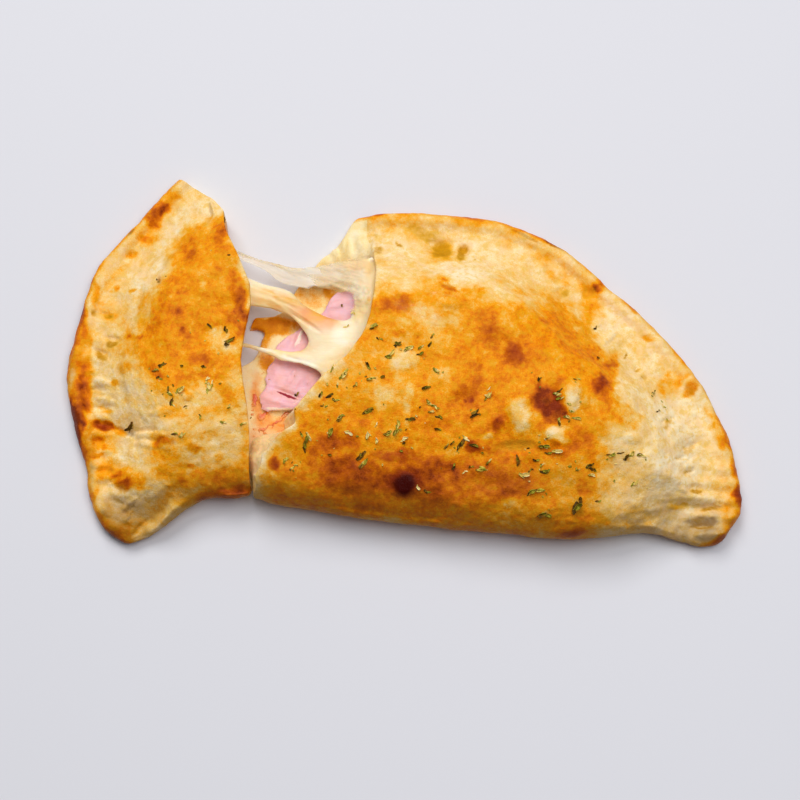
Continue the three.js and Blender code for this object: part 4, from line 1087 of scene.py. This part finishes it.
def makeCheeseFinish(look):
    finish = Finish("stretchedCheese")
    fibres = finish.noise(1.5, 4, 0.6, (look["grain"], 0.12))
    fine = finish.noise(0.9, 3, 0.5)
    return finish.surface({
        "Base Color": finish.coated(look["colour"], look, [
            ("yellow", (finish.noise(6, 3) * 1.4 - 0.45).clamped()),
            ("peachTint", finish.layer("peach") * 0.85),
            ("gold", (finish.layer("golden") * (fibres * 2.2 - 0.3)).clamped()),
            # whiter cheese and painted highlights
            ("whiteAndHighlightTint", (finish.layer("white") * (fibres + 0.45)).clamped()),
        ]),
        "Roughness": 0.28 + fine * 0.25, "Specular IOR Level": 0.45,
        "Alpha": (1.0 - finish.layer("thin") * 0.75).clamped(),
        "Normal": finish.bump(fibres * 0.6 + fine * 0.15, 0.16),
        "Subsurface Weight": 0.35, "Subsurface Radius": (0.006, 0.0035, 0.0016),
    })


cheeseVeil = {
    "name": "cheeseVeil", "thickness": 0.25, "rows": 26, "white": 0.8,
    # how see-through each end is, as x and amount, and where its border fades out
    "thin": ((-80, -52, -42), (0.9, 0.75, 0.1)), "fade": (0.16, 0.0), "fadeTo": 1.8,
    "folds": (0.2, 26, 2.6, 54), "torn": (0.1, 10, 2, 56),
    "back": [
        (226, 247, 13), (246, 255, 12.4), (266, 262, 11.6), (286, 267, 11), (306, 267, 10.6),
        (330, 262, 10.4), (352, 259, 9.8),
    ],
    "front": [
        (230, 259, 12.8), (248, 264, 12.2), (264, 271, 11.4), (282, 285, 10.6), (300, 289, 10.4),
        (322, 288, 10), (344, 284, 9.4),
    ],
    "layers": {"golden": 0.05, "peach": 0.16},
}


def makeVeil(look):
    work = bmesh.new()
    white = work.verts.layers.float.new("white")
    thin = work.verts.layers.float.new("thin")
    verts, points, inward = sheetBetween(work, look, look["rows"])
    folds, torn = (alongGrain(points, meltedCheese["grain"], look[name])
                   for name in ("folds", "torn"))
    clear = np.interp(points[:, 0], *look["thin"]) + folds
    clear += look["fadeTo"] * smoothStep(*look["fade"], inward + torn)
    for vert, fold, seen in zip(verts, folds, clear):
        vert.co.z += fold
        vert[white] = look["white"]
        vert[thin] = max(seen, 0)
    thicken(work, look["thickness"])
    veil = pieceFrom(work, look["name"])
    setLayers(veil.data, look["layers"])
    return veil


cheeseThreads = {
    "name": "cheeseThreads", "perSpan": 7, "swell": 0.5,
    # each thread: thickness and knots
    "threads": [(0.7, [(-77, 50.4, 12.8), (-68, 46.4, 11.6), (-59, 43, 10.8),
                      (-50, 40.4, 10.2), (-43, 38.8, 9.8)])],
    "layers": {"thin": 0.8, "golden": 0.05, "peach": 0.2, "white": 0.8},
}


def makeThreads(look):
    curve = bpy.data.curves.new(look["name"], "CURVE")
    curve.dimensions = "3D"
    curve.bevel_depth = mm / 2
    curve.bevel_resolution = 2
    curve.use_fill_caps = True
    for thickness, knots in look["threads"]:
        line = lineThrough(knots, look["perSpan"])
        spline = curve.splines.new("POLY")
        spline.points.add(len(line) - 1)
        for i, (point, place) in enumerate(zip(spline.points, line)):
            point.co = (*(place * mm), 1)
            toEnd = abs(2 * i / (len(line) - 1) - 1)
            point.radius = thickness * (1 + look["swell"] * toEnd ** 2)
    drawn = linked(look["name"], curve)
    mesh = bpy.data.meshes.new_from_object(
        drawn.evaluated_get(bpy.context.evaluated_depsgraph_get()))
    bpy.data.objects.remove(drawn)
    mesh.name = look["name"]
    setLayers(mesh, look["layers"])
    return linked(look["name"], mesh)


hamLook = {
    "voxel": 0.8, "kept": 0.5, "hidden": (-78, -8), "grain": 62, "evened": (0.5, 8),
    "waves": ((0.4, 9, 31), (0.1, 2.5, 32)), "facing": (0.2, 0.6),
    "warp": (1.5, 4, 33), "creaseWarp": 0.3,
    "relief": [
        (287, 393, 18, 2.2, -20, -0.9), (288, 405, 16, 4, -15, 0.5), (275, 400, 16, 4, -15, 0.4),
        (291, 378, 3, 12, -30, 0.6), (302, 384, 3, 10, -30, -0.5), (272, 388, 3, 11, -30, -0.4),
        (299, 336, 2.5, 13, -25, 0.8), (292, 340, 3, 10, -25, -0.4), (336, 305, 12, 4, 20, 0.5),
    ],
    # painted shade: darker red along the ham's groove and in its gap under the cheese web
    "crease": [(287, 395.5, 13, 1.6, -21, 1), (312, 376, 3, 8, -30, 0.2)],
    "fat": [
        (300, 336, 2, 13, -25, 1), (280, 409, 18, 2.5, -4, 0.8), (258, 398, 3, 12, 12, 0.6),
        (322, 300, 10, 2, 25, 0.6), (296, 402, 6, 2, 30, 0.5),
    ],
    "pink": tint(238, 178, 168), "lilac": tint(234, 186, 204), "fatTint": tint(252, 232, 214),
    # the last tint here is the dark red of the painted shade in the groove
    "deep": tint(230, 154, 150), "creaseShadeTint": tint(150, 16, 44),
}


def makeHam(node, name, look):
    ham = mergedCopy(node, name)
    remesh(ham, look["voxel"])
    mesh = ham.data
    points = readPoints(mesh)
    weight, rounds = look["evened"]
    points = relax(mesh, points, np.full(len(points), weight), rounds)
    if node == "ham_slice":
        shiftCut(slicePiece, points)
    writePoints(mesh, points)
    normals = readNormals(mesh)
    faceUp = smoothStep(*look["facing"], normals[:, 2])
    push = lumps(points, *look["waves"]) * faceUp
    push += patches(look["relief"], viewSpot(points)) * faceUp
    writePoints(mesh, points + normals * push[:, None])
    low, high = look["hidden"]
    thinOut(ham, (points[:, 0] > high) | (points[:, 0] < low), look["kept"])
    mesh = ham.data
    points = readPoints(mesh)
    spot, warp = viewSpot(points), warpOf(points, *look["warp"])
    for layer, share in (("crease", look["creaseWarp"]), ("fat", 1)):
        writeLayer(mesh, layer, np.clip(patches(look[layer], spot, warp, share), 0, 1))
    return ham


def makeHamFinish(look):
    finish = Finish("cookedHam")
    fibres = finish.noise(1.8, 4, 0.6, (look["grain"], 0.16))
    blotches, wet = finish.noise(7, 3), finish.noise(2.2, 2)
    return finish.surface({
        "Base Color": finish.coated(look["pink"], look, [
            ("lilac", (blotches * 2.6 - 0.8).clamped()),
            ("deep", (fibres * 1.6 - 0.6).clamped() * 0.5),
            ("fatTint", (finish.layer("fat") + (fibres - 0.5) * 0.5).step(0.2, 0.8)),
            # painted shade in the groove and the gap
            ("creaseShadeTint", finish.layer("crease").step(0.3, 0.7)),
        ]),
        "Roughness": 0.28 + wet * 0.3, "Specular IOR Level": 0.45,
        "Normal": finish.bump(fibres + wet * 0.4, 0.3),
        "Subsurface Weight": 0.2, "Subsurface Radius": (0.003, 0.001, 0.001),
    })


def surfaceTree(pieces):
    # one tree of all the pieces, for finding what lies under a place
    work = bmesh.new()
    for piece in pieces:
        work.from_mesh(piece.data)
    tree = BVHTree.FromBMesh(work)
    work.free()
    return tree


tomatoSauce = {
    "name": "tomatoSauce", "low": (-70, -44), "high": (-40, 16), "step": 0.35,
    "depth": 0.45, "sunk": 0.15, "thickness": 0.7, "smoothing": 0.5,
    # what it can lie on, and how much sauce there is at its edge
    "from": 60, "highest": 9, "flattest": 0.6, "edge": 0.25,
    "warp": (3, 5, 41), "redWarp": 0.5, "ragged": (0.9, 2, 43), "less": 0.3,
    "pools": [
        (255, 399, 4, 10, 10, 1), (264, 415, 9, 4, 40, 1), (272, 424, 13, 3.5, 25, 1),
        (260, 430, 9, 3.5, -30, 0.9), (285, 414, 9, 3, 30, 0.9), (253, 412, 3, 5, 0, 0.8),
    ],
    "reds": [
        (255, 399, 3, 8, 10, 0.9), (264, 414, 6, 2.5, 40, 0.7), (272, 424, 10, 2, 25, 0.8),
        (260, 428, 8, 2, -30, 0.6), (284, 413, 7, 1.8, 30, 0.6),
    ],
    "redTint": tint(226, 92, 22), "orange": tint(238, 130, 48), "pale": tint(246, 166, 88),
}


def makeSauce(look, tree):
    work = bmesh.new()
    red = work.verts.layers.float.new("red")
    (x1, y1), (x2, y2) = look["low"], look["high"]
    bmesh.ops.create_grid(work, x_segments=int((x2 - x1) / look["step"]),
                          y_segments=int((y2 - y1) / look["step"]), size=0.5)
    bmesh.ops.scale(work, vec=(x2 - x1, y2 - y1, 1), verts=work.verts)
    bmesh.ops.translate(work, vec=((x1 + x2) / 2, (y1 + y2) / 2, 0), verts=work.verts)
    points = np.array([vert.co for vert in work.verts])
    bare = set()
    for i, vert in enumerate(work.verts):
        start = Vector((vert.co.x, vert.co.y, look["from"])) * mm
        place, normal, _, _ = tree.ray_cast(start, Vector((0, 0, -1)))
        if place is None or normal.z < look["flattest"] or place.z / mm > look["highest"]:
            bare.add(vert)
        else:
            points[i, 2] = place.z / mm
    spot, warp = viewSpot(points), warpOf(points, *look["warp"])
    pool = np.clip(patches(look["pools"], spot, warp), 0, 1)
    pool += lumps(points, look["ragged"]) - look["less"]
    redness = patches(look["reds"], spot, warp, look["redWarp"])
    for i, vert in enumerate(work.verts):
        depth = look["depth"] * min(max(pool[i], 0), 1) ** 0.5
        vert.co.z = points[i, 2] + depth - look["sunk"]
        vert[red] = redness[i]
        if pool[i] < look["edge"]:
            bare.add(vert)
    bmesh.ops.delete(work, geom=list(bare), context="VERTS")
    bmesh.ops.smooth_vert(work, verts=work.verts, factor=look["smoothing"], use_axis_x=True,
                          use_axis_y=True, use_axis_z=True)
    bmesh.ops.recalc_face_normals(work, faces=work.faces)
    thicken(work, look["thickness"])
    return pieceFrom(work, look["name"])


def makeSauceFinish(look):
    finish = Finish("wetTomato")
    blotches, fine = finish.noise(2.6, 4, 0.6), finish.noise(0.8, 3)
    return finish.surface({
        "Base Color": finish.coated(look["orange"], look, [
            ("pale", (fine * 2 + blotches * 2 - 1.6).clamped()),
            ("redTint", (finish.layer("red") + (blotches - 0.5) * 0.8).step(0.2, 0.9)),
        ]),
        "Roughness": 0.18 + fine * 0.25, "Specular IOR Level": 0.5,
        "Normal": finish.bump(blotches + fine * 0.3, 0.3),
        "Subsurface Weight": 0.15, "Subsurface Radius": (0.003, 0.001, 0.0005),
    })


oregano = {
    "name": "oreganoFlakes", "thickness": 0.14, "pixel": 0.445, "seed": 11, "steepest": 0.15,
    # small bits strewn beside the listed flakes: number, spread, length, turn and shade
    "crumbs": 110, "spread": (11, 9), "crumbForm": ((1.2, 2.6), (0, 180), (0.1, 0.9)),
    # flakes are made of two or three scraps from these lengths on; the scraps of one flake are
    # toned darker and lighter in turn, a painted shade and painted highlight
    "scrapsFrom": (4.5, 8), "scrapSize": (0.5, 0.75), "apart": 0.45, "astray": 0.05,
    "turned": 0.35, "tilted": 0.2, "width": (0.32, 0.6), "paintedLightAndShade": (-0.2, 0.28, 0.1),
    "soleContrast": 0.05,
    "fold": (-0.5, 0.9), "arch": (-0.3, 0.5), "shear": (-0.5, 0.5),
    "narrow": 0.55, "narrowSpread": (0.5, 1.4), "crumpled": 0.1, "torn": 0.12, "toned": 0.12,
    # for each tone, the flakes' places in the view, length in pixels and turn
    "flakes": {
        "green": [
            (374, 327, 10, 20), (355, 385, 7, 50), (432, 336, 5, 60), (388, 433, 9, 30),
            (447, 446, 7, 70), (481, 469, 11, 20), (544, 446, 10, 5), (547, 438, 6, 40),
            (531, 492, 10, 40), (539, 490, 9, 5), (545, 514, 13, -5), (559, 421, 8, 80),
            (577, 380, 7, 0), (611, 455, 8, 10), (335, 400, 8, -20), (340, 417, 10, 50),
            (330, 432, 11, 75), (363, 463, 12, 55), (156, 371, 6, 0), (169, 392, 9, -70),
            (186, 406, 5, 0),
        ],
        "olive": [
            (409, 348, 11, 30), (421, 347, 7, 40), (390, 354, 11, 35), (371, 379, 9, 10),
            (437, 371, 9, -60), (488, 397, 11, 40), (429, 403, 8, -40), (435, 407, 8, -35),
            (431, 412, 5, 0), (398, 425, 9, 75), (396, 432, 8, 70), (489, 461, 6, 40),
            (542, 465, 5, 45), (557, 394, 8, -20), (561, 398, 7, 20), (571, 411, 7, -20),
            (567, 417, 7, -10), (576, 418, 8, 0), (569, 404, 5, 0), (631, 454, 8, 20),
            (642, 455, 9, -25), (635, 483, 8, 35), (652, 395, 6, 45), (664, 407, 4, 0),
            (344, 374, 12, 60), (338, 386, 6, 80), (308, 437, 11, 85), (285, 460, 8, 50),
            (296, 465, 4, 0), (292, 468, 4, 30), (243, 424, 7, 20), (229, 406, 6, 60),
            (333, 367, 6, 60), (180, 389, 10, 30), (173, 405, 5, -30), (223, 422, 7, -15),
            (182, 435, 8, 30),
        ],
        "dark": [
            (397, 344, 9, 25), (430, 344, 6, 60), (539, 379, 7, 45), (439, 417, 7, -10),
            (475, 413, 14, 45), (411, 419, 9, 0), (404, 443, 3, 0), (460, 445, 12, 60),
            (518, 461, 10, 85), (536, 460, 6, 0), (529, 471, 6, 60), (578, 505, 15, 65),
            (528, 448, 3, 0), (560, 390, 6, 30), (590, 465, 9, 20), (592, 469, 7, -30),
            (621, 453, 6, 0), (627, 457, 8, 45), (654, 392, 6, 45), (658, 411, 5, 30),
            (598, 358, 3, 0), (595, 328, 5, 50), (330, 396, 8, 35), (361, 456, 12, 60),
            (297, 395, 7, 60), (210, 326, 6, -30), (226, 330, 7, -75), (229, 341, 12, 35),
            (224, 220, 6, 90), (229, 255, 3, 0), (158, 281, 5, -60), (162, 365, 9, 30),
            (172, 401, 8, 60), (131, 427, 12, 55),
        ],
        "brown": [
            (379, 338, 7, 0), (420, 354, 7, 20), (368, 366, 7, -60), (427, 388, 8, 10),
            (383, 377, 4, 10), (438, 429, 6, 10), (452, 443, 5, 40), (474, 445, 10, -20),
            (454, 466, 6, 60), (471, 467, 5, 0), (548, 453, 6, 0), (546, 472, 9, 10),
            (427, 492, 8, -20), (570, 466, 4, 0), (577, 470, 3, 0), (598, 501, 6, 20),
            (321, 394, 6, 70), (324, 406, 7, 0), (305, 446, 10, 70), (301, 434, 6, -60),
            (367, 411, 12, 30), (330, 455, 3, 0), (159, 378, 6, -20), (204, 367, 5, -10),
            (182, 366, 3, 0), (200, 416, 5, -60), (175, 434, 7, 10),
        ],
        "pale": [
            (489, 389, 6, 30), (404, 439, 8, 30), (465, 438, 8, -60), (465, 472, 6, 30),
            (557, 451, 10, 10), (523, 475, 10, -15), (418, 487, 6, -60), (591, 475, 7, 0),
            (348, 433, 10, -20), (376, 425, 5, 60), (377, 441, 6, 60),
        ],
        "yellow": [
            (207, 380, 8, 60), (212, 384, 7, 80), (208, 389, 9, 70), (367, 436, 10, 80),
            (345, 327, 4, 0), (352, 313, 4, 40),
        ],
    },
    "tones": {"dark": 0.0, "brown": 0.2, "green": 0.4, "olive": 0.6, "yellow": 0.8, "pale": 1.0},
    "colours": [
        (0.0, tint(84, 58, 12)), (0.2, tint(140, 92, 20)), (0.4, tint(142, 140, 28)),
        (0.6, tint(196, 180, 62)), (0.8, tint(228, 200, 96)), (1.0, tint(246, 228, 160)),
    ],
}


def addScrap(work, tone, look, frameAt, length, width, shade, draw):
    # one crumpled scrap of leaf, bent along its middle, with torn edges
    scrap = bmesh.ops.create_grid(work, x_segments=3, y_segments=2, size=0.5)["verts"]
    fold, arch, shear = (draw.uniform(*look[name]) for name in ("fold", "arch", "shear"))
    low = 0
    for vert in scrap:
        x, y = vert.co.x * 2, vert.co.y * 2
        narrow = 1 - look["narrow"] * abs(x) ** 1.5 * draw.uniform(*look["narrowSpread"])
        height = width * (fold * abs(y) + arch * x * x) + draw.gauss(0, look["crumpled"]) * width
        torn = draw.gauss(0, look["torn"])
        vert.co = ((x + torn + shear * y * 0.4) * length / 2, y * width / 2 * narrow, height)
        vert[tone] = shade + draw.gauss(0, look["toned"]) + 0.25 * fold * (0.5 - abs(y))
        low = min(low, height)
    lift = look["thickness"] - low * 0.7
    bmesh.ops.translate(work, vec=(0, 0, lift), verts=scrap)
    bmesh.ops.scale(work, vec=(mm, mm, mm), verts=scrap)
    bmesh.ops.transform(work, matrix=frameAt, verts=scrap)


def makeOregano(look, tree):
    draw = Random(look["seed"])
    work = bmesh.new()
    tone = work.verts.layers.float.new("tone")
    flakes = [(*place, look["tones"][name]) for name, group in look["flakes"].items()
              for place in group]
    listed = len(flakes)
    for _ in range(look["crumbs"]):
        across, down, *_ = flakes[draw.randrange(listed)]
        flakes.append((across + draw.gauss(0, look["spread"][0]),
                       down + draw.gauss(0, look["spread"][1]),
                       *(draw.uniform(*limits) for limits in look["crumbForm"])))
    for across, down, length, turn, shade in flakes:
        scraps = 1 + sum(length >= limit for limit in look["scrapsFrom"])
        for i in range(scraps):
            size = length * (1 if scraps == 1 else draw.uniform(*look["scrapSize"]))
            step = 0 if scraps == 1 else length * (i / (scraps - 1) - 0.5) * look["apart"]
            angle = radians(turn)
            eye, ray = viewRay(
                across + step * cos(angle) + draw.gauss(0, look["astray"]) * length,
                down - step * sin(angle) + draw.gauss(0, look["astray"]) * length)
            spot, normal, _, _ = tree.ray_cast(eye * mm, ray)
            if spot is None or normal.z < look["steepest"]:
                continue
            angle += 0 if scraps == 1 else draw.gauss(0, look["turned"])
            lean = Vector((draw.gauss(0, look["tilted"]), draw.gauss(0, look["tilted"]), 0))
            upward = (normal + lean * min(scraps - 1, 1)).normalized()
            along = Vector((cos(angle), sin(angle), 0))
            along = (along - upward * along.dot(upward)).normalized()
            turned = Matrix((along, upward.cross(along), upward)).transposed().to_4x4()
            size *= look["pixel"]
            narrowest, widest = look["width"]
            width = size * (draw.uniform(narrowest, widest)
                            if length > look["scrapsFrom"][0] else widest)
            # the scraps of a flake are toned darker and lighter in turn, as painted shade and
            # painted highlight
            paintedLightAndShade = look["soleContrast"] if scraps == 1 else look["paintedLightAndShade"][i]
            addScrap(work, tone, look, Matrix.Translation(spot) @ turned, size, width,
                     shade + paintedLightAndShade, draw)
    bmesh.ops.solidify(work, geom=work.faces[:], thickness=look["thickness"] * mm)
    bmesh.ops.recalc_face_normals(work, faces=work.faces)
    return pieceFrom(work, look["name"])


def makeHerbFinish(look):
    finish = Finish("driedHerb")
    veins = finish.noise(0.5, 3)
    colour = finish.ramp(finish.layer("tone") + (veins - 0.5) * 0.35, look["colours"])
    return finish.surface({"Base Color": colour, "Roughness": 0.55 + veins * 0.3,
                           "Normal": finish.bump(veins, 0.15), "Specular IOR Level": 0.15})


def makeStage():
    makeCamera()
    makeLamp("key", studio["key"])
    makeLamp("fill", studio["fill"])
    world = bpy.data.worlds.new("world")
    world.use_nodes = True
    sky = world.node_tree.nodes["Background"]
    sky.inputs["Color"].default_value = studio["sky"] + (1.0,)
    sky.inputs["Strength"].default_value = studio["skyStrength"]
    scene.world = world
    scene.view_settings.view_transform = "Standard"
    work = bmesh.new()
    bmesh.ops.create_grid(work, x_segments=1, y_segments=1, size=studio["floorReach"])
    floor = pieceFrom(work, "floor")
    floor.data.materials.append(Finish("palePaint").surface({
        "Base Color": studio["floor"] + (1.0,), "Roughness": studio["floorRoughness"]}))


def finishPiece(piece, material, slot, *nodes, smooth=True):
    piece.data.materials.append(material)
    for face in piece.data.polygons:
        face.use_smooth = smooth
    if nodes:
        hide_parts(*nodes)
    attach(piece, "root")
    print(piece.name, len(piece.data.polygons), "faces")


makeStage()

bakedDough = makeDoughFinish(doughFinish)
made = []
for look in (largePiece, slicePiece):
    crust = makeCrust(look)
    paintCrust(look, crust.data, *sculptCrust(look, crust.data))
    finishPiece(crust, bakedDough, "crust", look["node"])
    made.append(crust)

cookedHam = makeHamFinish(hamLook)
for node, name in (("ham_main", "hamSheet"), ("ham_slice", "hamInSlice")):
    ham = makeHam(node, name, hamLook)
    finishPiece(ham, cookedHam, "ham", node)
    made.append(ham)

sauce = makeSauce(tomatoSauce, surfaceTree(made))
finishPiece(sauce, makeSauceFinish(tomatoSauce), "sauce")

stretchedCheese = makeCheeseFinish(meltedCheese)
cheese, veil, threads = makeCheese(meltedCheese), makeVeil(cheeseVeil), makeThreads(cheeseThreads)
finishPiece(cheese, stretchedCheese, "cheese", "cheese")
finishPiece(veil, stretchedCheese, "cheese")
finishPiece(threads, stretchedCheese, "cheese")
made += [sauce, cheese, veil, threads]

flakes = makeOregano(oregano, surfaceTree(made))
finishPiece(flakes, makeHerbFinish(oregano), "herbs", smooth=False)
